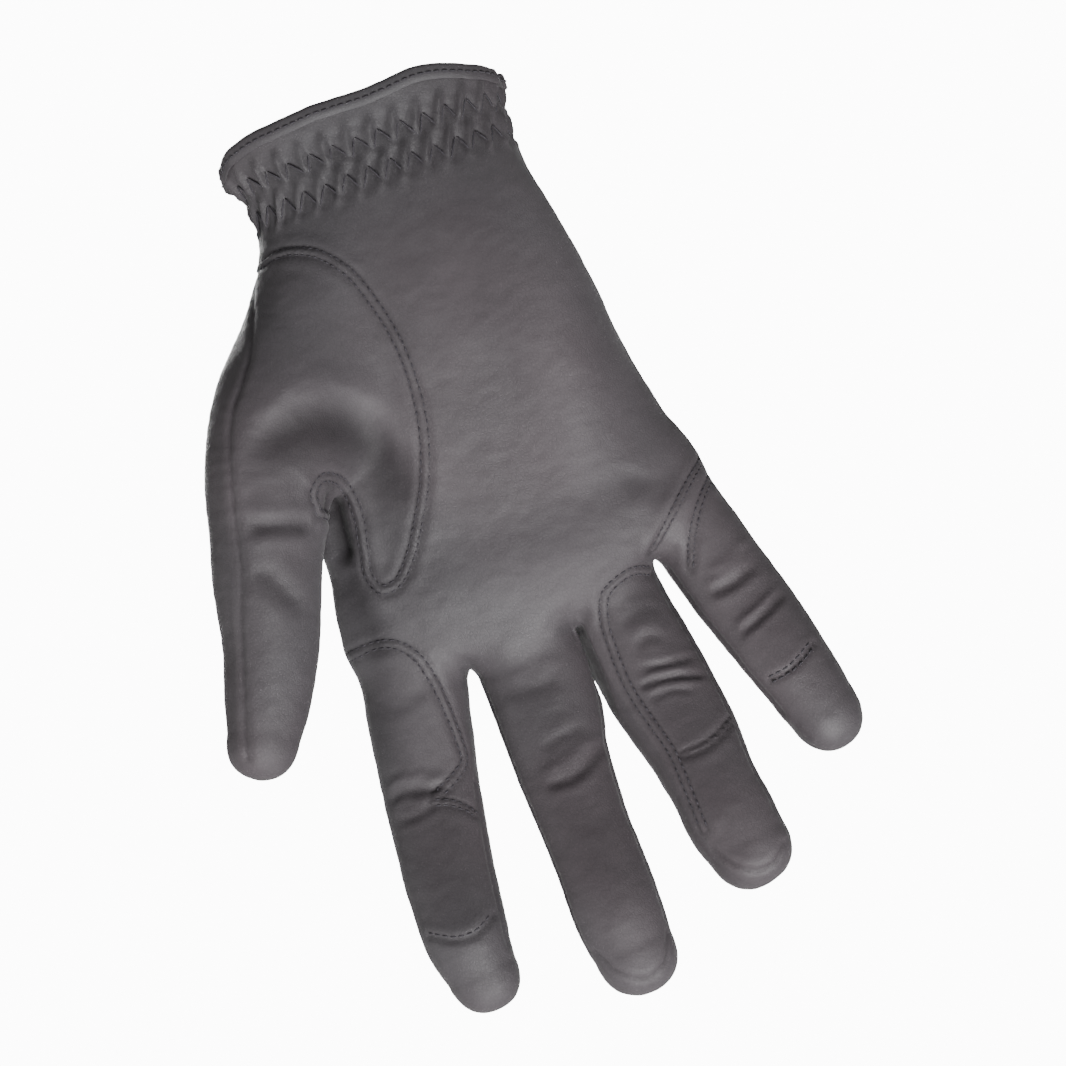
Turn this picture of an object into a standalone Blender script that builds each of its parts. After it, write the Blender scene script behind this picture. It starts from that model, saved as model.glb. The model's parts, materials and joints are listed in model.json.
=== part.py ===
"""A right-hand golf glove in its worn shape, built from its sewn leather panels.

Frame: metres, +Z up the forearm, the palm faces -Y, the thumb lies towards -X and the fingers hang
down. The origin is the middle of the hand opening at the cuff.
"""

import math

import bmesh
import bpy
from mathutils import Matrix, Vector

MM = 0.001

# ---------------------------------------------------------------- driving dimensions (millimetres)
LEATHER = 0.9  # thickness of a leather panel with its seam allowance
SEAM_GAP = 0.84  # between the outer edges of two panels sewn together; their inner edges come closer
LAYER_GAP = 0.32  # between a panel and what is sewn on its face
CUFF_Z = 2.0  # height of the panels' cut edge inside the cuff binding

# Hand sections from the cuff to the finger roots: (z, left x, right x, palm depth, back depth).
HAND_SECTIONS = (
    (5.0, -36.2, 35.8, 25.5, 24.0),
    (0.0, -34.8, 34.9, 24.3, 22.8),
    (-6.0, -32.0, 33.8, 21.6, 20.6),
    (-14.0, -31.0, 33.3, 20.0, 19.4),
    (-24.0, -33.0, 33.6, 20.0, 18.8),
    (-45.0, -36.5, 37.4, 20.2, 16.8),
    (-75.0, -40.0, 41.8, 18.0, 15.0),
    (-100.0, -42.8, 47.2, 15.2, 13.6),
    (-120.0, -44.4, 50.6, 13.2, 12.4),
    (-140.0, -46.0, 53.0, 12.0, 11.6),
)
SECTION_POWER = 2.5  # 2 is an ellipse, more is boxier

# The stitched line where the thumb piece is set into the palm: (z, x) on its inner side.
THUMB_SEAM = (
    (-20.0, -33.4),
    (-26.0, -27.0),
    (-33.0, -15.0),
    (-45.0, -10.2),
    (-58.0, -8.0),
    (-70.0, -7.5),
    (-82.0, -10.0),
    (-92.0, -14.2),
    (-101.0, -20.5),
    (-108.0, -31.0),
    (-113.0, -44.0),
)

# Lower edges of the hand panels, just above the finger folds: (x, z).
PALM_HEM = ((-45.5, -125.0), (-32.0, -125.5), (-5.0, -126.5), (20.0, -121.5), (33.0, -114.0), (48.5, -103.0))
BACK_HEM = ((-45.5, -128.5), (-32.0, -129.0), (-5.0, -130.0), (20.0, -126.0), (36.0, -119.0), (51.0, -113.0))


class Digit:
    """A finger or the thumb: its joints, half-widths and how far it folds."""

    def __init__(self, name, joints, half_widths, depth_share, dorsal, fold, open_sides):
        self.name = name
        self.joints = [Vector(p) for p in joints]  # root fold, middle fold, end knuckle, tip centre
        self.half_widths = half_widths  # at those four places
        self.depth_share = depth_share
        self.dorsal = Vector(dorsal).normalized()
        self.fold = fold  # (flex, straighten) at the root fold, the same at the middle fold, in degrees
        self.open_sides = open_sides  # sides that hold a fourchette: -1 is the thumb side, 1 the other


FINGERS = (
    Digit(
        "index",
        ((-33.0, 1.0, -130.5), (-37.2, -2.2, -157.5), (-40.2, -10.6, -182.5), (-40.6, -18.6, -199.5)),
        (11.3, 11.2, 10.3, 8.8), 0.90, (0, 1, 0), (62, 18), (1,),
    ),
    Digit(
        "middle",
        ((-5.6, 1.0, -131.5), (-5.9, -3.2, -160.0), (-5.6, -12.6, -187.0), (-5.0, -21.0, -206.5)),
        (11.5, 11.1, 10.3, 9.6), 0.90, (0, 1, 0), (62, 18), (-1, 1),
    ),
    Digit(
        "ring",
        ((19.0, 1.0, -127.0), (23.0, -3.4, -154.0), (26.6, -12.0, -177.0), (28.9, -18.6, -193.0)),
        (11.2, 11.3, 10.2, 9.3), 0.90, (0, 1, 0), (62, 18), (-1, 1),
    ),
    Digit(
        "little",
        ((42.2, 1.0, -120.0), (48.2, -2.4, -141.0), (53.4, -8.8, -159.0), (56.2, -12.8, -169.5)),
        (10.2, 10.4, 9.4, 8.5), 0.90, (0, 1, 0), (62, 18), (-1,),
    ),
)
THUMB = Digit(
    "thumb",
    ((-52.0, -19.0, -83.0), (-61.2, -23.0, -109.0), (-66.6, -25.4, -121.5), (-69.8, -26.9, -129.6)),
    (13.0, 11.6, 10.7, 9.4), 0.90, (-0.50, 0.84, 0.12), (42, 12), (),
)
TUBE_POWER = 2.3  # of a digit's section, like SECTION_POWER
TIP_REACH = 0.97  # of the rounded tip past the tip centre, in half-widths

HINGE_DEPTH = 0.32  # a fold's axis lies this share of the half-depth towards the palm
FOLD_CLEARANCE = 0.9

FRONT_HALF_ANGLE = 56.0  # of the palm-side strip of a finger; the fourchettes lie beside it
FULL_HALF_ANGLE = 90.0
DOME_SHARES = (0.96, 0.84, 0.62, 0.36)  # rows of the rounded tip, from its rim inwards
CHORD_SHARE = 0.22  # of the seam across the tip
CHORD_ROW = len(DOME_SHARES) + 1

# The edge of the thumb piece at the wrist and at the web.
THUMB_ROOT_TOP, THUMB_ROOT_END = -25.5, -111.0

# What is sewn on and in at the wrist.
BINDING = 0.7
BINDING_OUTSIDE, BINDING_INSIDE = 4.0, 3.0  # how far the cuff binding reaches down each face
FACING_WIDTH = 3.0  # of the binding round the slit
ELASTIC = 0.7
ELASTIC_BANDS = (("wrist_elastic_upper", -4.2, -9.6), ("wrist_elastic_lower", -10.8, -16.6))

# Closure on the back of the wrist.
SLIT_X, SLIT_BOTTOM, SLIT_HALF_WIDTH = 6.0, -54.0, 2.6
TAB_LEFT, TAB_RIGHT, TAB_TOP, TAB_BOTTOM = -19.0, 27.0, -9.5, -34.5
TAB_CORNER = 9.0
TAB_THICKNESS = 1.1
TAB_AXIS_OUTSET = 3.4  # of the line about which the tab lifts, above the back of the wrist
ANCHOR_LEFT, ANCHOR_GAP = -27.0, 2.2
LINING = 0.6
PAD_THICKNESS = 0.8
PAD_LEFT = 14.0

# Small pieces at the finger roots.
BAND_HEM = ((29.0, -118.6), (40.0, -116.0), (50.0, -112.0))
BAND_LEFT, BAND_RIGHT = 29.6, 49.6
WEBS = (
    ("web_index_middle", -19.4, -126.0),
    ("web_middle_ring", 7.0, -126.0),
    ("web_ring_little", 30.8, -121.0),
)
WEB_HALF_WIDTH = 1.9
WEB_FRONT, WEB_BACK, WEB_SAG = -9.6, 8.6, 1.6

GLOVE = bpy.data.collections.new("golf_glove")
CUTTERS = bpy.data.collections.new("cutters")


# ---------------------------------------------------------------- materials
def material(name, colour, roughness):
    made = bpy.data.materials.new(name)
    made.use_nodes = True
    shader = made.node_tree.nodes["Principled BSDF"]
    shader.inputs["Base Color"].default_value = (*colour, 1.0)
    shader.inputs["Roughness"].default_value = roughness
    shader.inputs["Metallic"].default_value = 0.0
    return made


def make_materials():
    return {
        "leather": material("leather", (0.105, 0.098, 0.104), 0.52),
        "side_leather": material("side_leather", (0.090, 0.086, 0.092), 0.58),
        "binding": material("binding", (0.070, 0.068, 0.074), 0.60),
        "elastic": material("elastic", (0.055, 0.054, 0.058), 0.85),
        "hook_tape": material("hook_tape", (0.045, 0.045, 0.048), 0.80),
        "loop_tape": material("loop_tape", (0.050, 0.050, 0.053), 0.95),
    }


# ---------------------------------------------------------------- curves through a few points
def along(table, x, column=1):
    """A smooth curve through table's rows, read at x. Its first column is x, rising or falling."""
    rows = sorted(table, key=lambda row: row[0])
    if x <= rows[0][0]:
        return rows[0][column]
    if x >= rows[-1][0]:
        return rows[-1][column]
    i = max(k for k in range(len(rows) - 1) if rows[k][0] <= x)
    near = [rows[min(max(k, 0), len(rows) - 1)] for k in range(i - 1, i + 3)]
    width = near[2][0] - near[1][0]
    slopes = []
    for k in (1, 2):
        span = near[k + 1][0] - near[k - 1][0]
        slopes.append((near[k + 1][column] - near[k - 1][column]) / span * width if span else 0.0)
    t = (x - near[1][0]) / width
    a, b = near[1][column], near[2][column]
    return (
        a * (2 * t**3 - 3 * t**2 + 1)
        + slopes[0] * (t**3 - 2 * t**2 + t)
        + b * (3 * t**2 - 2 * t**3)
        + slopes[1] * (t**3 - t**2)
    )


def catmull(points, t):
    """A point on the smooth curve through points; t counts from 0 at the first to len - 1 at the last."""
    i = min(max(int(math.floor(t)), 0), len(points) - 2)
    u = t - i
    before = points[i - 1] if i > 0 else 2 * points[0] - points[1]
    after = points[i + 2] if i + 2 < len(points) else 2 * points[-1] - points[-2]
    a, b = points[i], points[i + 1]
    return 0.5 * (
        2 * a
        + (b - before) * u
        + (2 * before - 5 * a + 4 * b - after) * u**2
        + (3 * a - before - 3 * b + after) * u**3
    )


def mix(a, b, t):
    return a + (b - a) * t


def smooth_step(t):
    t = min(max(t, 0.0), 1.0)
    return t * t * (3 - 2 * t)


# ---------------------------------------------------------------- building meshes
def add_object(name, mesh, slot, collection=None):
    obj = bpy.data.objects.new(name, mesh)
    (collection or GLOVE).objects.link(obj)
    if slot:
        mesh.materials.append(MATERIALS[slot])
    return obj


def grid_mesh(name, point, rows, columns, closed=False):
    """A sheet of quads through point(r, c), with r and c from 0 to 1. Its faces look along dr x dc."""
    shape = bmesh.new()
    across = columns if closed else columns + 1
    verts = [
        [shape.verts.new(point(r / rows, c / columns) * MM) for c in range(across)] for r in range(rows + 1)
    ]
    for r in range(rows):
        for c in range(columns):
            d = (c + 1) % across
            shape.faces.new((verts[r][c], verts[r + 1][c], verts[r + 1][d], verts[r][d]))
    mesh = bpy.data.meshes.new(name)
    shape.to_mesh(mesh)
    shape.free()
    mesh.shade_smooth()
    return mesh


def panel(name, point, rows, columns, slot, thickness=LEATHER, closed=False):
    """A thin solid panel whose outer face is the sheet point(r, c) and whose thickness lies inside it."""
    obj = add_object(name, grid_mesh(name, point, rows, columns, closed), slot)
    wall = obj.modifiers.new("thickness", "SOLIDIFY")
    wall.thickness = thickness * MM
    wall.offset = -1.0
    wall.use_even_offset = True
    return obj


# ---------------------------------------------------------------- the hand's outer surface
def power(value, exponent):
    return math.copysign(abs(value) ** exponent, value)


def hand_section(z):
    left, right, front, back = (along(HAND_SECTIONS, z, k) for k in (1, 2, 3, 4))
    return (left + right) / 2, (right - left) / 2, front, back


def hand_point(angle, z, outset=0.0):
    """On the hand's outer surface; angle 0 is the little-finger edge, 90 the palm, 180 the thumb edge."""
    middle, half, front, back = hand_section(z)
    c, s = math.cos(math.radians(angle)), math.sin(math.radians(angle))
    depth = front if s > 0 else back
    return Vector((
        middle + (half + outset) * power(c, 2 / SECTION_POWER),
        -(depth + outset) * power(s, 2 / SECTION_POWER),
        z,
    ))


def hand_angle(x, z):
    """The angle, on the palm side, at which the section at z has this x."""
    middle, half, _, _ = hand_section(z)
    share = min(max((x - middle) / half, -1.0), 1.0)
    return math.degrees(math.acos(power(share, SECTION_POWER / 2)))


def seam_degrees(z):
    """Half a seam's gap as an angle of the hand's section."""
    return math.degrees(SEAM_GAP / 2 / hand_section(z)[1])


# ---------------------------------------------------------------- fingers
class Tube:
    """The leather tube of a digit.

    t counts its joints: 0 root fold, 1 middle fold, 2 end knuckle, 3 tip centre.
    """

    def __init__(self, digit):
        self.digit = digit

    def frame(self, t):
        p = self.digit.joints
        here = catmull(p, t)
        along_axis = (catmull(p, min(t + 0.05, 3.0)) - catmull(p, t - 0.05)).normalized()
        across = along_axis.cross(self.digit.dorsal).normalized()
        return here, across, across.cross(along_axis).normalized(), along_axis

    def half_width(self, t):
        w = self.digit.half_widths
        t = min(max(t, 0.0), 3.0)
        i = min(int(t), 2)
        return mix(w[i], w[i + 1], smooth_step(t - i) * 0.4 + (t - i) * 0.6)

    def fold_offset(self, depth, half_depth, end):
        """How far an edge stands back from a fold's axis, so that the two sides clear when it bends."""
        flex, straighten = self.digit.fold
        below = -HINGE_DEPTH * half_depth - depth
        slope = math.tan(math.radians(flex / 2)) if below > 0 else math.tan(math.radians(straighten / 2))
        return end * (FOLD_CLEARANCE + abs(below) * slope)

    def point(self, t, angle, start_fold=False, end_fold=False, blend=1.0):
        """On the outer surface; angle 0 is the +across side, 90 the palm side.

        Near a fold the edge slants.
        """
        here, across, up, forward = self.frame(t)
        w = self.half_width(t)
        d = w * self.digit.depth_share
        c, s = math.cos(math.radians(angle)), math.sin(math.radians(angle))
        side, depth = w * power(c, 2 / TUBE_POWER), -d * power(s, 2 / TUBE_POWER)
        shift = 0.0
        if start_fold:
            shift += self.fold_offset(depth, d, 1.0) * blend
        if end_fold:
            shift += self.fold_offset(depth, d, -1.0) * blend
        return here + across * side + up * depth + forward * shift

    def dome(self, share, angle, chord=False):
        """On the rounded tip: share 1 is its rim and 0 its end.

        A chord point lies on the seam across the end.
        """
        here, across, up, forward = self.frame(3.0)
        w = self.digit.half_widths[3]
        d = w * self.digit.depth_share
        c, s = math.cos(math.radians(angle)), math.sin(math.radians(angle))
        side = w * share * power(c, 2 / TUBE_POWER)
        depth = -d * share * power(s, 2 / TUBE_POWER)
        if chord or abs(depth) < SEAM_GAP / 2:
            depth = math.copysign(SEAM_GAP / 2, depth)
        out = math.sqrt(max(0.0, 1 - (side / w) ** 2 - (depth / d) ** 2))
        return here + across * side + up * depth + forward * (w * TIP_REACH * out)


def strip_angles(digit, kind, t):
    """(from, to) angles of a strip at t. The fourchettes narrow to nothing before the tip."""
    taper = smooth_step((t - 2.1) / 0.9)
    side = mix(FULL_HALF_ANGLE - FRONT_HALF_ANGLE, 0.0, taper)
    gap = math.degrees(SEAM_GAP / 2 / digit.half_widths[min(int(t), 3)])
    inset = gap * mix(1.0, 1.6, taper)
    low = side if 1 in digit.open_sides else 0.0
    high = 180 - side if -1 in digit.open_sides else 180.0
    if kind == "front":
        return low + gap, high - gap
    if kind == "back":
        return 360 - low - gap, 360 - high + gap
    if kind == "outer":  # the fourchette on the +across side
        return -side + inset, side - inset
    return 180 - side + inset, 180 + side - inset  # "inner", the fourchette on the thumb side


def facing(kind, point):
    """Turns a sheet's column order so that its faces look outwards."""
    if kind == "back":
        return point
    return lambda r, c: point(r, 1 - c)


def base_strip(digit, kind, rows, columns, name, slot):
    """A strip of the digit's first section, between its root fold and its middle fold."""
    tube = Tube(digit)

    def point(r, c):
        a, b = strip_angles(digit, kind, r)
        angle = mix(a, b, c)
        if r < 0.5:
            return tube.point(r, angle, start_fold=True, blend=1 - 2 * r)
        return tube.point(r, angle, end_fold=True, blend=2 * r - 1)

    return panel(name, facing(kind, point), rows, columns, slot)


def tip_strip(digit, kind, rows, columns, name, slot):
    """A strip of the digit's end section, from its middle fold to the seam across the tip."""
    tube = Tube(digit)
    step_t = 2.0 / rows
    if kind not in ("front", "back"):
        rows -= 1
    total = rows + (CHORD_ROW if kind in ("front", "back") else 0)

    def point(r, c):
        row = round(r * total)
        if row <= rows:
            t = 1.0 + step_t * row
            a, b = strip_angles(digit, kind, t)
            return tube.point(t, mix(a, b, c), start_fold=True, blend=max(0.0, 1 - 1.25 * (t - 1)))
        a, b = strip_angles(digit, kind, 3.0)
        step = row - rows
        if step == CHORD_ROW:
            return tube.dome(CHORD_SHARE, mix(a, b, c), chord=True)
        return tube.dome(DOME_SHARES[step - 1], mix(a, b, c))

    return panel(name, facing(kind, point), total, columns, slot)


def build_finger(digit):
    n = digit.name
    base_strip(digit, "front", 4, 5, f"{n}_front_base", "leather")
    base_strip(digit, "back", 4, 5, f"{n}_back_base", "leather")
    tip_strip(digit, "front", 6, 5, f"{n}_front_tip", "leather")
    tip_strip(digit, "back", 6, 5, f"{n}_back_tip", "leather")
    for side, kind in ((-1, "inner"), (1, "outer")):
        if side in digit.open_sides:
            base_strip(digit, kind, 4, 2, f"{n}_{kind}_fourchette_base", "side_leather")
            tip_strip(digit, kind, 6, 2, f"{n}_{kind}_fourchette_tip", "side_leather")


def build_thumb():
    base_strip(THUMB, "front", 3, 7, "thumb_front_base", "leather")
    base_strip(THUMB, "back", 3, 7, "thumb_back_base", "leather")
    tip_strip(THUMB, "front", 4, 7, "thumb_front_tip", "leather")
    tip_strip(THUMB, "back", 4, 7, "thumb_back_tip", "leather")


# ---------------------------------------------------------------- hand panels
def build_palm_panel():
    """From the cuff to the finger roots, and from the little-finger edge to the thumb seam."""

    def point(r, c):
        z = CUFF_Z
        for _ in range(6):  # the hem's height depends on x, which depends on the height
            low, high = seam_degrees(z), 180 - seam_degrees(z)
            if THUMB_SEAM[-1][0] < z < THUMB_SEAM[0][0]:
                high = min(high, hand_angle(along(THUMB_SEAM, z), z))
            angle = mix(low, high, c)
            hem = along(PALM_HEM, hand_point(angle, z).x)
            z = mix(CUFF_Z, hem, r**1.3)
        return hand_point(angle, z)

    return panel("palm_panel", lambda r, c: point(r, 1 - c), 26, 12, "leather")


def build_back_panel():
    """The back of the hand, split by the closure slit at the wrist."""

    def point(r, c):
        z = CUFF_Z
        for _ in range(6):
            angle = mix(180 + seam_degrees(z), 360 - seam_degrees(z), c)
            hem = along(BACK_HEM, hand_point(angle, z).x)
            z = mix(CUFF_Z, hem, r**1.5)
        return hand_point(angle, z)

    obj = panel("back_panel", lambda r, c: point(r, 1 - c), 18, 14, "leather")
    cut = obj.modifiers.new("slit", "BOOLEAN")
    cut.operation = "DIFFERENCE"
    cut.object = slit_cutter()
    return obj


def slit_cutter():
    """A tall wedge with a round lower end, wider at the cuff."""
    curve = bpy.data.curves.new("slit_cutter", "CURVE")
    curve.dimensions = "2D"
    curve.fill_mode = "BOTH"
    curve.extrude = 9 * MM
    line = curve.splines.new("POLY")
    corners = [(-SLIT_HALF_WIDTH - 0.8, 12.0), (-SLIT_HALF_WIDTH + 1.0, SLIT_BOTTOM + 2)]
    for step in range(1, 6):
        turn = math.pi * (1 + step / 6)
        corners.append(((SLIT_HALF_WIDTH - 1.0) * math.cos(turn), SLIT_BOTTOM + 2 + 1.6 * math.sin(turn)))
    corners += [(SLIT_HALF_WIDTH - 1.0, SLIT_BOTTOM + 2), (SLIT_HALF_WIDTH + 0.8, 12.0)]
    line.points.add(len(corners) - 1)
    for spot, (x, z) in zip(line.points, corners):
        spot.co = (x * MM, z * MM, 0, 1)
    line.use_cyclic_u = True
    guide = bpy.data.objects.new("slit_guide", curve)
    CUTTERS.objects.link(guide)
    place = Matrix.Translation(Vector((SLIT_X, 18, 0)) * MM)
    guide.matrix_world = place @ Matrix.Rotation(math.pi / 2, 4, "X")
    bpy.context.view_layer.update()
    ready = guide.evaluated_get(bpy.context.evaluated_depsgraph_get())
    mesh = bpy.data.meshes.new_from_object(ready)
    cutter = bpy.data.objects.new("slit_cutter", mesh)
    CUTTERS.objects.link(cutter)
    cutter.matrix_world = guide.matrix_world
    welded = bmesh.new()
    welded.from_mesh(mesh)
    bmesh.ops.remove_doubles(welded, verts=welded.verts, dist=0.00001)
    bmesh.ops.recalc_face_normals(welded, faces=welded.faces)
    welded.to_mesh(mesh)
    welded.free()
    bpy.data.objects.remove(guide)
    cutter.hide_render = True
    cutter.display_type = "WIRE"
    return cutter


# ---------------------------------------------------------------- thumb root
def thumb_ring(angle):
    """The edge of the thumb root at the thumb's root fold."""
    return Tube(THUMB).point(0.0, angle, end_fold=True)


def funnel(name, edge, start_angle, end_angle, lift, columns, slot):
    """A panel that runs from the line edge(c) on the hand to the thumb's root fold."""
    _, _, _, forward = Tube(THUMB).frame(0.0)

    def point(r, c):
        foot, leave = edge(c)
        head = thumb_ring(mix(start_angle, end_angle, c))
        reach = (head - foot).length
        return hermite(foot, leave * reach * lift, head, forward * reach * 0.9, r)

    return panel(name, point, 6, columns, slot)


def hermite(a, out_a, b, out_b, t):
    return (
        a * (2 * t**3 - 3 * t**2 + 1)
        + out_a * (t**3 - 2 * t**2 + t)
        + b * (3 * t**2 - 2 * t**3)
        + out_b * (t**3 - t**2)
    )


def palm_edge(c):
    """Along the set-in thumb seam, from the wrist round to the web, with the way the leather leaves it."""
    z = mix(THUMB_ROOT_TOP, THUMB_ROOT_END, c)
    x = along(THUMB_SEAM, z)
    inward = seam_degrees(z) * 2.2
    angle = min(hand_angle(x, z) + inward, 180 - seam_degrees(z) - 0.5)
    here = hand_point(angle, z)
    beside = hand_point(min(angle + 14, 186), z)
    leave = (beside - here).normalized() + Vector((-0.1, -0.55, -0.1)) * math.sin(math.pi * c)
    return here, leave.normalized()


def back_edge(c):
    """Down the thumb edge of the hand, just behind the side seam."""
    z = mix(THUMB_ROOT_TOP, THUMB_ROOT_END, c)
    angle = 180 + mix(8.0, 16.0, math.sin(math.pi * c))
    here = hand_point(angle, z, LAYER_GAP + LEATHER + 0.1)
    return here, Vector((-0.75, -0.25 - 0.3 * c, -0.6)).normalized()


def build_thumb_root():
    gap = math.degrees(SEAM_GAP / 2 / THUMB.half_widths[0])
    funnel("thumb_gusset_front", palm_edge, 180 - gap, gap, 0.75, 10, "leather")
    funnel("thumb_gusset_back", lambda c: back_edge(1 - c), 360 - gap, 180 + gap, 0.7, 10, "leather")


# ---------------------------------------------------------------- what is sewn onto the hand panels
def back_point(x, z, outset):
    """On the back of the hand at this x."""
    return hand_point(360 - hand_angle(x, z), z, outset)


def build_cuff_binding():
    """A leather strip folded over the cut edge of the cuff, open at the slit."""
    outside = LAYER_GAP + BINDING
    inside = -(LEATHER + LAYER_GAP + BINDING)
    profile = (
        (outside, CUFF_Z - BINDING_OUTSIDE),
        (outside, CUFF_Z + LAYER_GAP),
        (mix(outside, inside, 0.25), CUFF_Z + LAYER_GAP + BINDING),
        (mix(outside, inside, 0.75), CUFF_Z + LAYER_GAP + BINDING),
        (inside, CUFF_Z + LAYER_GAP),
        (inside, CUFF_Z - BINDING_INSIDE),
    )

    def point(r, c):
        outset, z = profile[round(r * (len(profile) - 1))]
        edge = 360 - hand_angle(SLIT_X + SLIT_HALF_WIDTH + 1.6, CUFF_Z)
        other = 360 - hand_angle(SLIT_X - SLIT_HALF_WIDTH - 1.6, CUFF_Z)
        return hand_point(mix(other, edge - 360, c), z, outset)

    return panel("cuff_binding", point, len(profile) - 1, 40, "binding", thickness=BINDING)


def build_elastic(name, top, bottom):
    """A band of elastic inside the palm panel, across the front of the wrist."""

    def point(r, c):
        return hand_point(mix(168.0, 12.0, c), mix(top, bottom, r), -(LEATHER + 2 * LAYER_GAP))

    return panel(name, point, 4, 18, "elastic", thickness=ELASTIC)


def build_slit_binding():
    """A facing sewn round the edges of the closure slit."""
    line = [Vector((SLIT_X - SLIT_HALF_WIDTH - 1.3, 0, -3.4))]
    line.append(Vector((SLIT_X - SLIT_HALF_WIDTH - 0.2, 0, SLIT_BOTTOM + 2)))
    for step in range(1, 6):
        turn = math.pi * (1 + step / 6)
        reach = SLIT_HALF_WIDTH + 0.2
        line.append(Vector((SLIT_X + reach * math.cos(turn), 0, SLIT_BOTTOM + 2 + reach * math.sin(turn))))
    line.append(Vector((SLIT_X + SLIT_HALF_WIDTH + 0.2, 0, SLIT_BOTTOM + 2)))
    line.append(Vector((SLIT_X + SLIT_HALF_WIDTH + 1.3, 0, -3.4)))
    stations = [mix(line[0], line[1], k / 8) for k in range(8)]
    stations += line[1:-2]
    stations += [mix(line[-2], line[-1], k / 8) for k in range(9)]

    def point(r, c):
        k = round(c * (len(stations) - 1))
        here = stations[k]
        ahead = stations[min(k + 1, len(stations) - 1)] - stations[max(k - 1, 0)]
        away = Vector((ahead.z, 0, -ahead.x)).normalized()
        spot = here + away * mix(-0.2, FACING_WIDTH, r)
        return back_point(spot.x, spot.z, LAYER_GAP + BINDING)

    return panel("slit_binding", point, 2, len(stations) - 1, "binding", thickness=BINDING)


def pad(name, left, right, top, bottom, outset, thickness, slot, corner=2.0, columns=10):
    """A pad or tab that follows the back of the wrist, with rounded corners on its free side."""
    middle, half = (top + bottom) / 2, (top - bottom) / 2

    def point(r, c):
        x = mix(left, right, 1 - (1 - r) ** 1.35)
        past = max(0.0, x - (right - corner))
        height = half - corner + math.sqrt(max(0.0, corner**2 - past**2))
        return back_point(x, middle + height * (1 - 2 * c), outset + thickness)

    return panel(name, point, columns, 6, slot, thickness=thickness)


def build_closure():
    """The tab that closes the slit: sewn down on the thumb side, held by hook and loop pads on the other."""
    first = LAYER_GAP
    second = first + PAD_THICKNESS + LAYER_GAP
    third = second + PAD_THICKNESS + LAYER_GAP
    fourth = third + LINING + LAYER_GAP
    low, high = TAB_BOTTOM, TAB_TOP
    right = TAB_RIGHT
    pad("loop_pad", PAD_LEFT, right + 1.5, high - 2.5, low + 2.5, first, PAD_THICKNESS, "loop_tape")
    pad("hook_pad", PAD_LEFT + 0.4, right - 1.5, high - 3.5, low + 3.5, second, PAD_THICKNESS, "hook_tape")
    pad(
        "tab_lining", TAB_LEFT + 1, right - 0.6, high - 0.6, low + 0.6, third, LINING,
        "side_leather", TAB_CORNER,
    )
    pad("tab_leather", TAB_LEFT, right, high, low, fourth, TAB_THICKNESS, "leather", TAB_CORNER)
    pad("tab_anchor", ANCHOR_LEFT, TAB_LEFT - ANCHOR_GAP, high, low, first, TAB_THICKNESS, "leather", 0.01, 6)


def build_webs():
    """The small pieces between neighbouring fingers that close the hand at each crotch."""
    for name, x, z in WEBS:

        def point(r, c, x=x, z=z):
            y = mix(WEB_FRONT, WEB_BACK, r)
            sag = WEB_SAG * math.cos(1.2 * y / WEB_FRONT)
            return Vector((x + mix(-WEB_HALF_WIDTH, WEB_HALF_WIDTH, c), y, z - sag))

        panel(name, point, 6, 2, "side_leather")


def build_little_base_band():
    """The short piece between the palm panel and the root of the little finger."""

    def point(r, c):
        x = mix(BAND_LEFT, BAND_RIGHT, c)
        z = along(PALM_HEM, x) - SEAM_GAP
        for _ in range(4):
            x = min(x, hand_section(z)[0] + hand_section(z)[1] - 0.25)
            z = mix(along(PALM_HEM, x) - SEAM_GAP, along(BAND_HEM, x), r)
        return hand_point(max(hand_angle(x, z), seam_degrees(z)), z)

    return panel("little_base_band", point, 3, 8, "leather")


# ---------------------------------------------------------------- moving bodies
def pivot(name, place, parent=None):
    """An empty on a joint's axis that carries the pieces which turn about it."""
    empty = bpy.data.objects.new(name, None)
    empty.empty_display_size = 0.005
    empty.location = place * MM - (parent.location if parent else Vector())
    empty.parent = parent
    GLOVE.objects.link(empty)
    bpy.context.view_layer.update()
    return empty


def carry(empty, prefix, ending=""):
    for obj in list(GLOVE.objects):
        if obj.type == "MESH" and obj.name.startswith(prefix) and obj.name.endswith(ending):
            obj.parent = empty
            obj.matrix_parent_inverse = empty.matrix_world.inverted()


def fold_axis(digit, t):
    """A point on the axis of the digit's fold at t."""
    tube = Tube(digit)
    here, _, up, _ = tube.frame(t)
    return here - up * (HINGE_DEPTH * tube.half_width(t) * digit.depth_share)


def build_pivots():
    for digit in (*FINGERS, THUMB):
        root = pivot(f"{digit.name}_root_axis", fold_axis(digit, 0))
        middle = pivot(f"{digit.name}_middle_axis", fold_axis(digit, 1), root)
        carry(root, f"{digit.name}_", "_base")
        carry(middle, f"{digit.name}_", "_tip")
    tab_height = (TAB_TOP + TAB_BOTTOM) / 2
    tab = pivot("tab_axis", back_point(TAB_LEFT - ANCHOR_GAP / 2, tab_height, TAB_AXIS_OUTSET))
    for name in ("tab_leather", "tab_lining", "hook_pad"):
        carry(tab, name)


# ---------------------------------------------------------------- run
def clear_scene():
    for obj in list(bpy.data.objects):
        bpy.data.objects.remove(obj)


clear_scene()
bpy.context.scene.collection.children.link(GLOVE)
bpy.context.scene.collection.children.link(CUTTERS)
MATERIALS = make_materials()
build_palm_panel()
build_back_panel()
build_thumb_root()
for finger in FINGERS:
    build_finger(finger)
build_thumb()
build_cuff_binding()
for elastic_name, elastic_top, elastic_bottom in ELASTIC_BANDS:
    build_elastic(elastic_name, elastic_top, elastic_bottom)
build_slit_binding()
build_closure()
build_webs()
build_little_base_band()
build_pivots()
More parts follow.
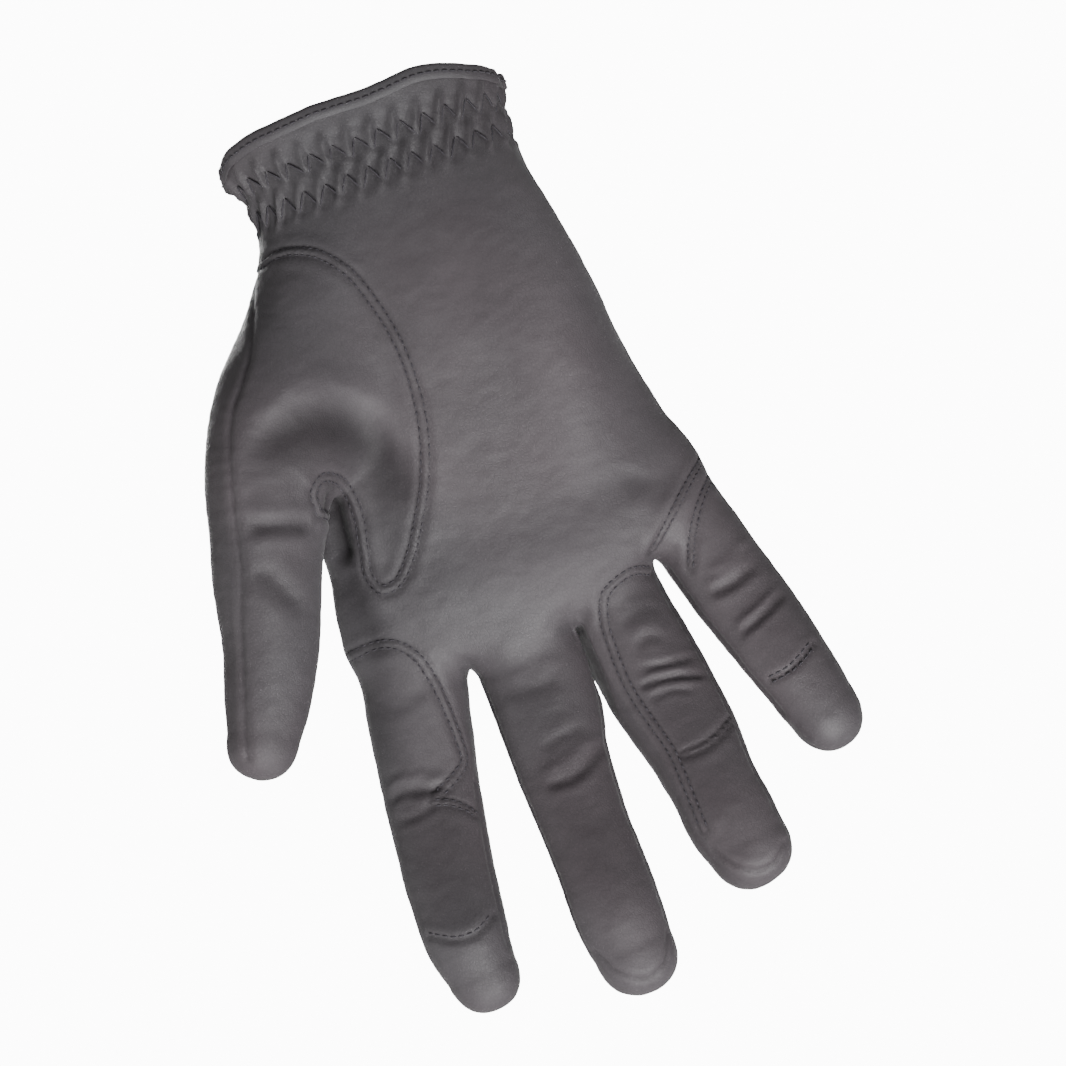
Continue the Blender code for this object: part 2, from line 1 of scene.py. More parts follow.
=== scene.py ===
"""Looks of the golf glove: one worn leather skin, cut along its seams into panels, with its stitching.

Lengths inside this script are millimetres in the glove's own frame (+Z to the wrist, -Y out of the palm,
-X to the thumb) and become metres when a mesh is made.
"""

import json
import math

import bpy
import numpy as np
from mathutils import Matrix, Vector, noise
from mathutils.kdtree import KDTree


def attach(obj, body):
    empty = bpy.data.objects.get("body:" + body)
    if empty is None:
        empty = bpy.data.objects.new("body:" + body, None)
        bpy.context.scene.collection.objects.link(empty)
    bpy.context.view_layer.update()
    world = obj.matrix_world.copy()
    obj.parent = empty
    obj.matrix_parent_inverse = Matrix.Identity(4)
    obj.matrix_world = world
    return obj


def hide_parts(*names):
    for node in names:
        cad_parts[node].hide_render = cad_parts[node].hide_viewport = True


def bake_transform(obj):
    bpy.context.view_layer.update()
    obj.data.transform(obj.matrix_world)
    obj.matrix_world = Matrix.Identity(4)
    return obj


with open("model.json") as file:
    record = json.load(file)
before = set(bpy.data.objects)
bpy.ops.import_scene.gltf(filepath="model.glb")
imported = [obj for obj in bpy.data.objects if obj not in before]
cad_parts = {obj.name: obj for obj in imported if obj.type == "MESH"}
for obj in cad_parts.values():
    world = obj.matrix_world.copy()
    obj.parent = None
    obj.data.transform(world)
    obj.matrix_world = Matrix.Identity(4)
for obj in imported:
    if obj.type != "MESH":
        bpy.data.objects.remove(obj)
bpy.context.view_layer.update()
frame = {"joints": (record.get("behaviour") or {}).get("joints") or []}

MM = 0.001
STEP = 0.8  # pitch of the grid from which the skin is made
LEATHER = 0.85  # thickness of the skin


# ---- curves and fields
def through(*rows):
    """A smooth function of the first number of each row that passes through the others."""
    rows = sorted(rows)
    xs = np.array([r[0] for r in rows], float)
    ys = np.array([r[1:] for r in rows], float)
    slopes = np.gradient(ys, xs, axis=0)

    def value(x):
        x = np.clip(np.asarray(x, float), xs[0], xs[-1])
        i = np.clip(np.searchsorted(xs, x) - 1, 0, len(xs) - 2)
        width = xs[i + 1] - xs[i]
        t = ((x - xs[i]) / width)[..., None]
        w = width[..., None]
        found = (
            ys[i] * (1 + 2 * t) * (1 - t) ** 2
            + ys[i + 1] * t**2 * (3 - 2 * t)
            + w * slopes[i] * t * (1 - t) ** 2
            - w * slopes[i + 1] * t**2 * (1 - t)
        )
        return found[..., 0] if ys.shape[1] == 1 else found

    return value


def smooth(t):
    t = np.clip(t, 0.0, 1.0)
    return t * t * (3 - 2 * t)


def unit(vectors):
    """The same directions, each 1 long."""
    return vectors / np.maximum(np.linalg.norm(vectors, axis=-1), 1e-9)[..., None]


def lengths(points):
    """How far along a line each of its points is."""
    return np.concatenate(([0], np.cumsum(np.linalg.norm(np.diff(points, axis=0), axis=1))))


def bell(distance, width):
    """1 at no distance, falling away over the width."""
    return np.exp(-((distance / width) ** 2))


def union(a, b, k):
    h = np.maximum(k - np.abs(a - b), 0) / k
    return np.minimum(a, b) - h * h * k / 4


def crossing(a, b, k):
    return -union(-a, -b, k)


# ---- the hand
# height: left, right, palm depth, back depth
HAND = through(
    (14, -38, 38, 21.4, 25),
    (4, -37, 36.2, 20.2, 23.8),
    (-4, -34.2, 35.6, 19.3, 21.6),
    (-10, -31.4, 34.6, 18.6, 20.3),
    (-16, -30.8, 34, 18.2, 19.4),
    (-25, -33, 34.4, 18.9, 18.6),
    (-34, -35.2, 35.4, 19.9, 17.8),
    (-44, -36.8, 36.8, 20.8, 17.2),
    (-54, -37.6, 38.8, 21, 16.4),
    (-70, -39.6, 41.2, 19.6, 15.4),
    (-88, -41.8, 44.4, 17.4, 14.4),
    (-100, -43, 47.4, 15.8, 13.8),
    (-112, -43.8, 50, 14, 13),
    (-124, -44.8, 53.6, 12.6, 12.2),
    (-140, -46, 56, 11.4, 11.2),
)
# across: where the hand ends between the fingers
HAND_END = through((-50, -124), (-34, -130), (-19, -131.2), (-6, -133), (7, -129.5), (20, -128),
                   (30.2, -121.0), (42, -116), (54, -104))


HAND_POWER = 2.5  # of the hand's section, between an ellipse's 2 and a box's many


def hand_field(p):
    x, y, z = p[:, 0], p[:, 1], p[:, 2]
    left, right, front, back = HAND(z).T
    middle, half = (left + right) / 2, (right - left) / 2
    depth = np.where(y < 0, front, back)
    u, v = np.abs(x - middle) / half, np.abs(y) / depth
    body = ((u**HAND_POWER + v**HAND_POWER) ** (1 / HAND_POWER) - 1) * depth
    body = crossing(body, HAND_END(x) - z, 9.0)
    heel = blob(p, (24, -9.5, -58), (13.5, 12.0, 34))
    pads = blob(p, (2, -5.5, -112), (36, 9.0, 12))
    return union(union(body, heel, 6.0), pads, 5.0)


def blob(p, centre, radii):
    """An ellipsoid."""
    n = np.sqrt((((p - np.array(centre)) / radii) ** 2).sum(1))
    return (n - 1) * min(radii)


SAMPLES = 48  # places along each digit's line
MARGIN = 14.0  # how far round its line a digit's field is worked out
FAR = 30.0  # the field beyond that
ROOT_CAP = 12.0  # length of a tube's rounded end inside the hand


class Digit:
    """A tube of leather along a curved line. Rows: x, y, z, half-width, palm depth, back depth."""

    def __init__(self, name, rows, dorsal, power, cap):
        self.name, self.power, self.cap = name, power, cap
        rows = np.array(rows, float)
        steps = lengths(rows[:, :3])
        line = through(*[(s, *row) for s, row in zip(steps, rows)])
        self.s = np.linspace(0, steps[-1], SAMPLES)
        values = line(self.s)
        self.points, self.sizes = values[:, :3], values[:, 3:]
        self.forward = unit(np.gradient(self.points, self.s, axis=0))
        self.across = unit(np.cross(self.forward, np.array(dorsal, float)))
        self.up = np.cross(self.across, self.forward)
        self.low = (self.points - self.sizes[:, :1]).min(0) - MARGIN
        self.high = (self.points + self.sizes[:, :1]).max(0) + MARGIN
        self.root = 0.0

    def nearest(self, p):
        """Index and share of the nearest place on the line, for each point."""
        best = np.full(len(p), np.inf)
        where = np.zeros(len(p))
        for i in range(SAMPLES - 1):
            a = self.points[i]
            d = self.points[i + 1] - a
            t = np.clip((p - a) @ d / (d @ d), 0, 1)
            gap = ((p - a - t[:, None] * d) ** 2).sum(1)
            closer = gap < best
            best[closer] = gap[closer]
            where[closer] = i + t[closer]
        return where

    def at(self, where):
        i = np.minimum(where.astype(int), SAMPLES - 2)
        t = (where - i)[:, None]
        parts = (self.points, self.sizes, self.forward, self.across, self.up)
        return [part[i] * (1 - t) + part[i + 1] * t for part in parts]

    def local(self, p):
        """Distance along the line past its root fold, across, up and beyond its ends."""
        where = self.nearest(p)
        centre, sizes, forward, across, up = self.at(where)
        q = p - centre
        along = np.interp(where, np.arange(SAMPLES), self.s)
        over = (q * forward).sum(1)
        past = np.where(where >= SAMPLES - 1.001, np.maximum(over, 0), 0)
        beyond = past - np.where(where < 0.001, np.maximum(-over, 0), 0)
        return along + beyond - self.root, (q * across).sum(1), (q * up).sum(1), beyond, sizes

    def field(self, p):
        out = np.full(len(p), FAR)
        near = ((p > self.low) & (p < self.high)).all(1)
        if near.any():
            _, u, v, beyond, sizes = self.local(p[near])
            depth = np.where(v < 0, sizes[:, 1], sizes[:, 2])
            n = self.power
            end = np.abs(beyond) / np.where(beyond > 0, self.cap, ROOT_CAP)
            size = ((np.abs(u) / sizes[:, 0]) ** n + (np.abs(v) / depth) ** n + end**n) ** (1 / n)
            out[near] = (size - 1) * np.minimum(sizes[:, 0], depth)
        return out

    def angle(self, u, v, sizes):
        """Degrees round the tube: 0 is the little-finger side, 90 the palm and 180 the thumb side."""
        depth = np.where(v < 0, sizes[:, 1], sizes[:, 2])
        return np.degrees(np.arctan2(-v / depth, u / sizes[:, 0])) % 360

    def place(self, along, angle):
        """A point on the tube's own surface."""
        where = np.interp(np.atleast_1d(along) + self.root, self.s, np.arange(SAMPLES))
        centre, sizes, _, across, up = self.at(where)
        c, s = np.cos(np.radians(angle)), np.sin(np.radians(angle))
        n = 2 / self.power
        depth = np.where(s > 0, sizes[:, 1], sizes[:, 2])
        u = sizes[:, 0] * np.sign(c) * np.abs(c) ** n
        v = -depth * np.sign(s) * np.abs(s) ** n
        return centre + across * u[:, None] + up * v[:, None]


DIGITS = [
    Digit("index", [
        (-30.6, 1.5, -112, 11.6, 10.5, 10.5),
        (-32.6, 1.2, -130.5, 12.4, 11.2, 10.8),
        (-35.1, 0.2, -143, 12.2, 11, 10.6),
        (-37.6, -2.3, -157.5, 11.5, 10, 10.2),
        (-39.2, -6, -170, 11, 10.2, 9.6),
        (-40.5, -10.4, -183, 10.5, 9.6, 8.3),
        (-40.8, -13, -192.5, 9.7, 9.4, 6.6),
        (-40.2, -13.3, -199.3, 8.4, 8, 5.4)], (0, 1, 0), 2.25, 9.6),
    Digit("middle", [
        (-4.2, 1.5, -112, 11.2, 10.5, 10.5),
        (-4.6, 1.2, -131.5, 12.9, 11.2, 10.8),
        (-4.6, 0, -145, 12.9, 11, 10.6),
        (-5.9, -3.2, -160, 11.3, 10, 10.2),
        (-5.9, -7.4, -173.5, 10.5, 10.2, 9.6),
        (-5.5, -12, -187, 10.4, 9.8, 9),
        (-5.4, -15.2, -198.5, 10.4, 9.8, 8),
        (-4.9, -16.4, -206.3, 9.6, 8.8, 6.8)], (0, 1, 0), 2.25, 10.6),
    Digit("ring", [
        (17, 1.5, -108, 11, 10.5, 10.5),
        (18.2, 1.2, -127, 12.2, 11.2, 10.8),
        (19.8, 0, -141, 12.8, 11, 10.6),
        (22.4, -3.2, -154, 12.6, 10.2, 10.2),
        (24.7, -7.2, -166, 11.6, 10.2, 9.6),
        (25.8, -11.6, -177, 10.6, 9.6, 8.8),
        (27, -14.2, -186, 10.7, 9.6, 7.8),
        (28.4, -16.2, -192.8, 9.8, 8.6, 6.6)], (0.10, 1, 0), 2.25, 9.8),
    Digit("little", [
        (38, 1.5, -104, 9.6, 9.6, 9.6),
        (42.2, 1.2, -120, 10.6, 10.2, 9.8),
        (45.2, 0, -131, 10.6, 9.8, 9.6),
        (48.2, -2.4, -141, 10.5, 9, 9.2),
        (51, -5.6, -151, 10, 9.2, 8.6),
        (53.6, -7.6, -160, 9.3, 8.8, 7.8),
        (55.9, -8.4, -168.6, 8.5, 8.3, 6.4)], (-0.10, 1, 0), 2.25, 10.6),
    Digit("thumb", [
        (-14, -5, -34, 10.5, 9.5, 9),
        (-27, -9.5, -45, 14.4, 13.5, 12),
        (-38, -14.5, -60, 17.8, 15, 13.5),
        (-47, -18, -73, 15.6, 13.6, 12.5),
        (-51.9, -20.2, -85, 13.6, 12.2, 11.6),
        (-56.2, -21.8, -98, 12.7, 11.4, 11),
        (-60.1, -23.2, -111, 11.2, 10.8, 10.2),
        (-64.7, -24.8, -122, 10, 9.5, 9.2),
        (-68.7, -26, -130, 8.5, 8.2, 7.6)], (-0.50, 0.84, 0.12), 2.2, 9.8),
]
FINGERS, THUMB = DIGITS[:4], DIGITS[4]


# How widely the thumb flows into the hand, how much less below its crotch, and the fingers into the hand.
THUMB_FLOW, CROTCH_LESS, FINGER_FLOW = 9.0, 7.4, 4.0
CROTCH_TOP, CROTCH_FALL = -74, 14
# The middle and ring fingers lie against each other, with a thin slanting gap between them: its top, half
# its width, the way across it in x and y, and its place across the hand at two heights.
GAP_TOP, GAP_HALF, GAP_WAY, GAP_PLACE = -131, 0.72, (0.97, 0.24), ((-147, -131), (7.9, 7.4))


def skin_field(p):
    """Less than 0 inside the glove."""
    z = p[:, 2]
    tight = smooth((CROTCH_TOP - z) / CROTCH_FALL)
    base = union(hand_field(p), THUMB.field(p), THUMB_FLOW - CROTCH_LESS * tight)
    found = base
    for digit in FINGERS:
        found = np.minimum(found, union(base, digit.field(p), FINGER_FLOW))
    aside = GAP_WAY[0] * (p[:, 0] - np.interp(z, *GAP_PLACE)) + GAP_WAY[1] * p[:, 1]
    return np.maximum(found, np.minimum(GAP_HALF - np.abs(aside), GAP_TOP - z))


# ---- from field to mesh
def surface_net(field):
    """Quads on the zero level of the grid of values, facing the positive side."""
    inside = field < 0
    shape = np.array(field.shape)
    count = np.zeros(shape - 1, np.int8)
    for i in (0, 1):
        for j in (0, 1):
            for k in (0, 1):
                count += inside[i : shape[0] - 1 + i, j : shape[1] - 1 + j, k : shape[2] - 1 + k]
    mixed = (count > 0) & (count < 8)
    index = np.full(shape - 1, -1, np.int64)
    cells = np.argwhere(mixed)
    index[mixed] = np.arange(len(cells))
    total, number = np.zeros((len(cells), 3)), np.zeros(len(cells))
    for axis in range(3):
        for side in ((0, 0), (0, 1), (1, 0), (1, 1)):
            start = np.insert(side, axis, 0)
            a, b = cells + start, cells + start
            b[:, axis] += 1
            fa, fb = field[tuple(a.T)], field[tuple(b.T)]
            cut = (fa < 0) != (fb < 0)
            spot = np.repeat(start[None, :].astype(float), len(cells), 0)
            spot[cut, axis] += (fa / np.where(cut, fa - fb, 1))[cut]
            total[cut] += spot[cut]
            number[cut] += 1
    verts = BOX_LOW + STEP * (cells + total / number[:, None])
    quads = []
    for axis in range(3):
        b, c = (axis + 1) % 3, (axis + 2) % 3
        first = np.take(inside, np.arange(shape[axis] - 1), axis)
        second = np.take(inside, np.arange(1, shape[axis]), axis)
        edges = np.argwhere(first != second)
        u, v = edges[:, b], edges[:, c]
        edges = edges[(u > 0) & (v > 0) & (u < shape[b] - 1) & (v < shape[c] - 1)]
        out = first[tuple(edges.T)]
        ring = []
        for db, dc in ((-1, -1), (0, -1), (0, 0), (-1, 0)):
            cell = edges.copy()
            cell[:, b] += db
            cell[:, c] += dc
            ring.append(index[tuple(cell.T)])
        ring = np.stack(ring, 1)
        quads.append(np.where(out[:, None], ring, ring[:, ::-1]))
    return verts, np.concatenate(quads)


BOX_LOW, BOX_HIGH = np.array([-86.0, -44.0, -225.0]), np.array([74.0, 34.0, 13.0])  # holds the whole skin
COARSE = 4  # steps of the fine grid in one of the coarse grid
NEAR_SKIN = 1.71875  # the field near the skin stays under this many coarse steps
BLOCK = 400000  # points worked out at a time


def field_grid():
    """The field on the fine grid. Most of it is far from the skin, as a coarse grid tells."""
    sizes = np.ceil((BOX_HIGH - BOX_LOW) / STEP).astype(int) + 1
    rough_axes = [(BOX_LOW[k] + STEP * np.arange(sizes[k]))[::COARSE] for k in range(3)]
    rough = np.stack(np.meshgrid(*rough_axes, indexing="ij"), -1)
    near = skin_field(rough.reshape(-1, 3)).reshape(rough.shape[:3])
    fine = [(np.arange(size) + COARSE // 2) // COARSE for size in sizes]
    guess = near[np.ix_(*(np.minimum(f, len(axis) - 1) for f, axis in zip(fine, rough_axes)))]
    values = np.where(guess < 0, -FAR, FAR)
    spots = np.argwhere(np.abs(guess) < NEAR_SKIN * STEP * COARSE)
    for block in np.array_split(spots, max(1, len(spots) // BLOCK)):
        values[tuple(block.T)] = skin_field(BOX_LOW + STEP * block)
    return values


def gradient(p, h=0.25):
    out = np.empty_like(p)
    for k in range(3):
        d = np.zeros(3)
        d[k] = h
        out[:, k] = (skin_field(p + d) - skin_field(p - d)) / (2 * h)
    return out


def neighbours(count, quads):
    edges = np.concatenate([quads[:, [i, (i + 1) % 4]] for i in range(4)])
    edges = np.unique(np.sort(edges, 1), axis=0)
    both = np.concatenate([edges, edges[:, ::-1]])
    degree = np.bincount(both[:, 0], minlength=count)
    return both, degree


def average(values, both, degree):
    out = np.zeros_like(values)
    for k in range(values.shape[1]):
        out[:, k] = np.bincount(both[:, 0], values[both[:, 1], k], minlength=len(values))
    return out / np.maximum(degree, 1)[:, None]


def vertex_normals(verts, quads):
    n = np.cross(verts[quads[:, 2]] - verts[quads[:, 0]], verts[quads[:, 3]] - verts[quads[:, 1]])
    out = np.zeros_like(verts)
    for k in range(3):
        for corner in range(4):
            out[:, k] += np.bincount(quads[:, corner], n[:, k], minlength=len(verts))
    return out / np.maximum(np.linalg.norm(out, axis=1), 1e-9)[:, None]


EASINGS, EASE = 3, 0.6  # rounds of evening out the mesh, and how far each goes


def make_skin():
    verts, quads = surface_net(field_grid())
    both, degree = neighbours(len(verts), quads)
    for _ in range(EASINGS):
        eased = verts + EASE * (average(verts, both, degree) - verts)
        g = gradient(eased)
        size = np.maximum((g**2).sum(1), 0.05)
        step = np.clip(skin_field(eased) / size, -1, 1)
        verts = eased - g * step[:, None]
    return verts, quads


verts, quads = make_skin()
normals = vertex_normals(verts, quads)


# ---- where each vertex lies
class Zone:
    """The stretch of a digit round one joint."""

    def __init__(self, joint, digit, start, end):
        self.joint = joint
        self.centre = np.array(joint["pos_m"]) / MM
        near = digit.at(digit.nearest(self.centre[None, :]))
        self.forward = near[2][0]
        self.start, self.end = start, end

    def along(self, p):
        return (p - self.centre) @ self.forward

    def blend(self, obj):
        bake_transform(obj)


JOINTS = {joint["name"]: joint for joint in frame["joints"]}
ROOT_START = {"index": 0.5, "middle": 1.5, "ring": 2.5, "little": 0.5, "thumb": 1.0}
for digit in DIGITS:
    second = "thumb_end_fold" if digit is THUMB else f"{digit.name}_middle_fold"
    reach = 10.0 if digit.name == "little" else 13.5
    start = ROOT_START[digit.name]
    digit.zones = [
        Zone(JOINTS[f"{digit.name}_root_fold"], digit, start, start + reach),
        Zone(JOINTS[second], digit, -0.55 * reach, 0.65 * reach),
    ]
    digit.root = digit.local(digit.zones[0].centre[None, :])[0][0]

# Where the seams run round each digit, in degrees: (little-finger side, thumb side) of the palm piece
# and of the back piece. Where the two are equal there is no side strip.
FRONT_EDGES = {
    "index": (26, 184), "middle": (16, 164), "ring": (16, 128), "little": (-6, 162), "thumb": (4, 176),
}
BACK_EDGES = {
    "index": (-40, 184), "middle": (-40, 220), "ring": (-40, 220), "little": (-6, 220), "thumb": (4, 176),
}


def point_in(polygon, x, z):
    inside = np.zeros(len(x), bool)
    ends = np.roll(polygon, -1, axis=0)
    for (xa, za), (xb, zb) in zip(polygon, ends):
        if za == zb:
            continue
        cut = (za > z) != (zb > z)
        inside ^= cut & (x < (xb - xa) * (z - za) / (zb - za) + xa)
    return inside


# ---- seams, as lines on the skin
# Lines on the palm side are given as (across, height) in the plane y = PLANE_Y, as seen from SEEN_FROM in
# front of that plane and from straight before VIEW_X, VIEW_Z.
VIEW_X, PLANE_Y, VIEW_Z, SEEN_FROM = 6.1, -10.0, -106.8, 939.0


def search_tree(points, numbers):
    tree = KDTree(len(points))
    for p, i in zip(points.tolist(), numbers):
        tree.insert(p, i)
    tree.balance()
    return tree


class Surface:
    """Finds the nearest place on the skin."""

    def __init__(self, points, normals):
        self.points, self.normals = points, normals
        self.tree = search_tree(points, range(len(points)))
        front = np.flatnonzero(normals[:, 1] < -0.15)
        self.front_tree = search_tree(points[front][:, (0, 2, 1)] * (1, 1, 0), front.tolist())

    def snap(self, spots):
        """The spots moved onto the skin, and the skin's normals there."""
        out, ways = [], []
        for spot in np.asarray(spots).tolist():
            _, i, _ = self.tree.find(spot)
            n = self.normals[i]
            out.append(np.array(spot) - n * ((np.array(spot) - self.points[i]) @ n))
            ways.append(n)
        return np.array(out), np.array(ways)

    def project(self, flat):
        """Spots given as seen from the palm side put on the skin."""
        found = []
        for x, z in flat:
            spot = (x, PLANE_Y, z)
            for _ in range(3):
                _, i, _ = self.front_tree.find((spot[0], spot[2], 0))
                nearer = 1 + (self.points[i][1] - PLANE_Y) / SEEN_FROM
                spot = (VIEW_X + (x - VIEW_X) * nearer, self.points[i][1], VIEW_Z + (z - VIEW_Z) * nearer)
            found.append(spot)
        return self.snap(found)[0]


LINE_PITCH = 0.8  # between the points of the drawn lines


def resample(points, pitch):
    points = np.asarray(points, float)
    steps = lengths(points)
    count = max(2, int(round(steps[-1] / pitch)) + 1)
    marks = np.linspace(0, steps[-1], count)
    return np.stack([np.interp(marks, steps, points[:, k]) for k in range(points.shape[1])], 1)


def rounded(corners):
    """A smooth line through a few corners."""
    corners = np.asarray(corners, float)
    steps = lengths(corners)
    line = through(*[(s, *c) for s, c in zip(steps, corners)])
    return line(np.linspace(0, steps[-1], max(3, int(steps[-1] / LINE_PITCH))))


SEAM_PITCH = 0.5  # between the points of a seam


class Seam:
    """A sewn line on the skin: the sideways places of its stitch rows, the groove's depth and half-width,
    and half the width of the raised band between its grooves."""

    def __init__(self, points, rows, depth, width, band=0.0):
        self.rows, self.depth, self.width, self.band = rows, depth, width, band
        line, _ = SKIN.snap(resample(points, SEAM_PITCH))
        for _ in range(2):
            line[1:-1] = (line[:-2] + 2 * line[1:-1] + line[2:]) / 4
        self.points, ways = SKIN.snap(line)
        self.sides = np.cross(ways, unit(np.gradient(self.points, axis=0)))


PALM_SEAMS = {
    "thumb_oval": [(-34.5, -26.5), (-29, -24.8), (-21, -26.5), (-14.5, -33), (-10.3, -44), (-8.3, -55),
        (-8.3, -65), (-9.7, -75), (-13, -85), (-18.3, -95), (-23.7, -103), (-28, -107), (-31.7, -107.4),
        (-33.6, -103.5), (-32.4, -97), (-31, -90), (-31.2, -82.5), (-33, -79), (-35.8, -77.6),
        (-38.6, -79.6), (-39.6, -86)],
    "index_patch": [(-44.5, -119.5), (-38, -119), (-34, -120), (-30, -124), (-28, -130), (-27, -138),
        (-26.8, -146), (-27.4, -152), (-31, -154.6), (-36.5, -157)],
    "index_wedge": [(-37.5, -158.4), (-34, -159.5), (-31, -161.8), (-28.5, -165)],
    "ring_patch": [(29, -124.6), (25.5, -123.4), (21, -124.2), (17, -126.4), (15, -131), (14.3, -140),
        (15, -150), (17, -158), (19.0, -166), (19.6, -176), (20, -186)],
    "little_base": [(49.6, -104), (42, -110.5), (36, -116), (31, -120.5)],
    "little_second": [(50.6, -108), (44.8, -114.5), (41.2, -120), (38, -127)],
}
THUMB_EDGE = [(-34.5, -27), (-42.3, -45), (-51.7, -58.3), (-56.3, -71.7), (-59, -82.3), (-61.2, -91.7),
    (-65, -101.7), (-68.3, -111.7), (-70.9, -120), (-74.4, -131), (-75.2, -134)]
TIP_SEAMS = {
    "index_tip": [(-49.3, -187.5), (-44, -190.6), (-39, -191), (-33, -188)],
    "middle_tip": [(-13.8, -204), (-10, -211), (-5, -214.4), (1, -212), (3.6, -206)],
    "ring_tip": [(20.5, -191), (24, -196.2), (29, -199.6), (33, -199), (36.6, -195.5)],
    "ring_welt": [(21.5, -167.8), (26, -167.6), (31, -166.2), (35.2, -164)],
    "little_tip": [(46.6, -158.4), (52, -157.6), (59.4, -153.6)],
}
# Folds of the leather, (across, height), depth and half-width. A negative depth is a ridge. A fold also gets
# painted shade in its colour, a ridge painted light.
CREASES = [
    ([(-57, -82.4), (-51, -84.2), (-41, -88)], 0.85, 1.7),
    ([(-58.6, -84), (-57, -75), (-53.6, -67), (-49, -62), (-43, -58.6), (-36, -56.5), (-28, -57.5),
        (-21, -62), (-16.6, -70), (-15, -80)], -0.5, 3.4),
    ([(-50, -69.5), (-45, -66), (-39, -64.6), (-32, -65.4), (-26.6, -68.6), (-22.8, -74), (-21, -82),
        (-21.6, -92)], 1.05, 4.8),
    ([(-59, -91), (-55, -97), (-50, -107)], 0.6, 2.4),
    ([(-38, -98), (-38.4, -110), (-37.5, -124)], 0.45, 2.8),
    ([(-35.6, -80), (-36.3, -86), (-37.0, -92), (-37.6, -100)], 2.4, 2.8),
    ([(13, -127.5), (10.5, -129.5), (8.4, -132)], 0.4, 1.2),
    ([(-18.6, -129), (-18.8, -134), (-18.4, -140)], 0.3, 1.4),
    ([(-48, -154.6), (-43, -153.8), (-38, -155), (-33, -156)], 0.5, 1.1),
    ([(-47, -151.4), (-42, -150.6), (-36, -151.6)], -0.35, 1.1),
    ([(-48, -159.5), (-42, -160), (-37, -159)], 0.3, 1.0),
    ([(-12, -163.6), (-5, -164), (0, -162.2), (5, -159.6)], 0.5, 1.2),
    ([(-11, -161.0), (-5, -159.6), (1, -157.8), (5.5, -156.6)], -0.5, 1.5),
    ([(-10, -155.5), (-4, -154), (3, -153.8)], 0.3, 1.3),
    ([(-15, -139.5), (-7, -141), (2, -140.5)], 0.3, 1.8),
    ([(17, -149.2), (24, -149.6), (33, -152)], 0.6, 0.8),
    ([(19, -145.4), (25, -146.4), (32.5, -147)], 0.45, 0.8),
    ([(18, -153), (24, -152.6), (29, -154.5)], 0.3, 0.8),
    ([(18, -134.5), (24, -132.6), (29, -134.5)], 0.3, 1.4),
    ([(19, -141), (23, -139), (27, -141)], 0.3, 1.2),
    ([(39.5, -134.5), (46, -134.0), (53, -131.5)], 0.7, 1.2),
    ([(40.5, -129.5), (47, -129.0), (54, -124)], -0.35, 1.6),
    ([(43, -146), (49, -144), (57, -140)], 0.5, 0.9),
    ([(43, -143.6), (49, -141.6), (56, -138.2)], -0.3, 0.9),
    ([(-28, -132), (-36, -134.5), (-44, -132)], 0.2, 1.8),
    ([(28, -101), (38, -106), (46, -104)], 0.3, 2.6),
    ([(26, -118.5), (33, -113), (41, -106)], 0.2, 2.0),
]
# Painted shade and painted light: places where shade is painted into the leather's colour, or light where the
# number is below 0: line, how much darker, half-width.
PAINTED_LIGHT_AND_SHADE = [
    ([(-26, -31), (-32, -37), (-38, -46)], -0.3, 7.0),
    ([(31, -22), (34, -36), (36, -50)], -0.18, 9.0),
    ([(-35.6, -81), (-36.6, -89), (-37.6, -97)], 0.45, 3.2),
    ([(-38.6, -101), (-38.6, -112), (-38.0, -126)], 0.14, 4.0),
    ([(-44, -69), (-38, -68.5), (-32, -69.5), (-27, -74), (-25, -82), (-25.5, -92), (-27, -98)], 0.20, 6.5),
    ([(-44, -124), (-43.6, -136), (-44, -148)], 0.26, 4.5),
    ([(-47, -160), (-46, -172), (-45.5, -184)], 0.16, 8.0),
    ([(-36, -160), (-36, -172), (-37, -184)], 0.20, 7.0),
    ([(-10, -168), (-6, -180), (-6, -192)], 0.22, 9.0),
    ([(-13, -144), (-5, -147), (3, -149)], 0.26, 7.0),
    ([(22, -157), (25, -168), (27, -180)], 0.18, 8.0),
    ([(-34, -10), (-15, -10.5), (15, -10.5), (34, -10)], 0.24, 9.0),
    ([(17, -130), (22, -131), (29, -131)], 0.22, 6.0),
    ([(24, -186), (28, -194)], 0.16, 7.0),
    ([(-43, -194), (-38, -200)], 0.14, 6.0),
    ([(-70, -130), (-64, -131)], 0.16, 6.0),
]
# Rows of gathers at the wrist: height of the zigzag, half its height, and where its pleats begin and end.
GATHERS = ((-8.3, 2.4, -1.5, -12.0), (-15.8, 2.4, -10.0, -20.5))
GATHER_PITCH, GATHER_LEAN = 5.5, 0.37
PLEAT_RISE, PLEAT_DIP, PLEAT_HALF = 1.25, 0.35, 0.85


def hand_spot(angle, z, outset=0.0):
    """On the hand's own section; 0 is the little-finger edge, 90 the palm, 180 the thumb edge."""
    angle, z = np.broadcast_arrays(np.asarray(angle, float), np.asarray(z, float))
    left, right, front, back = np.moveaxis(HAND(z), -1, 0)
    c, s = np.cos(np.radians(angle)), np.sin(np.radians(angle))
    depth = np.where(s > 0, front, back)
    x = (left + right) / 2 + ((right - left) / 2 + outset) * np.sign(c) * np.abs(c) ** (2 / HAND_POWER)
    y = -(depth + outset) * np.sign(s) * np.abs(s) ** (2 / HAND_POWER)
    return np.stack([x, y, z], -1)


WRIST_ANGLES = np.linspace(-30, 210, 700)
WRIST_ARC = lengths(hand_spot(WRIST_ANGLES, -10.0))


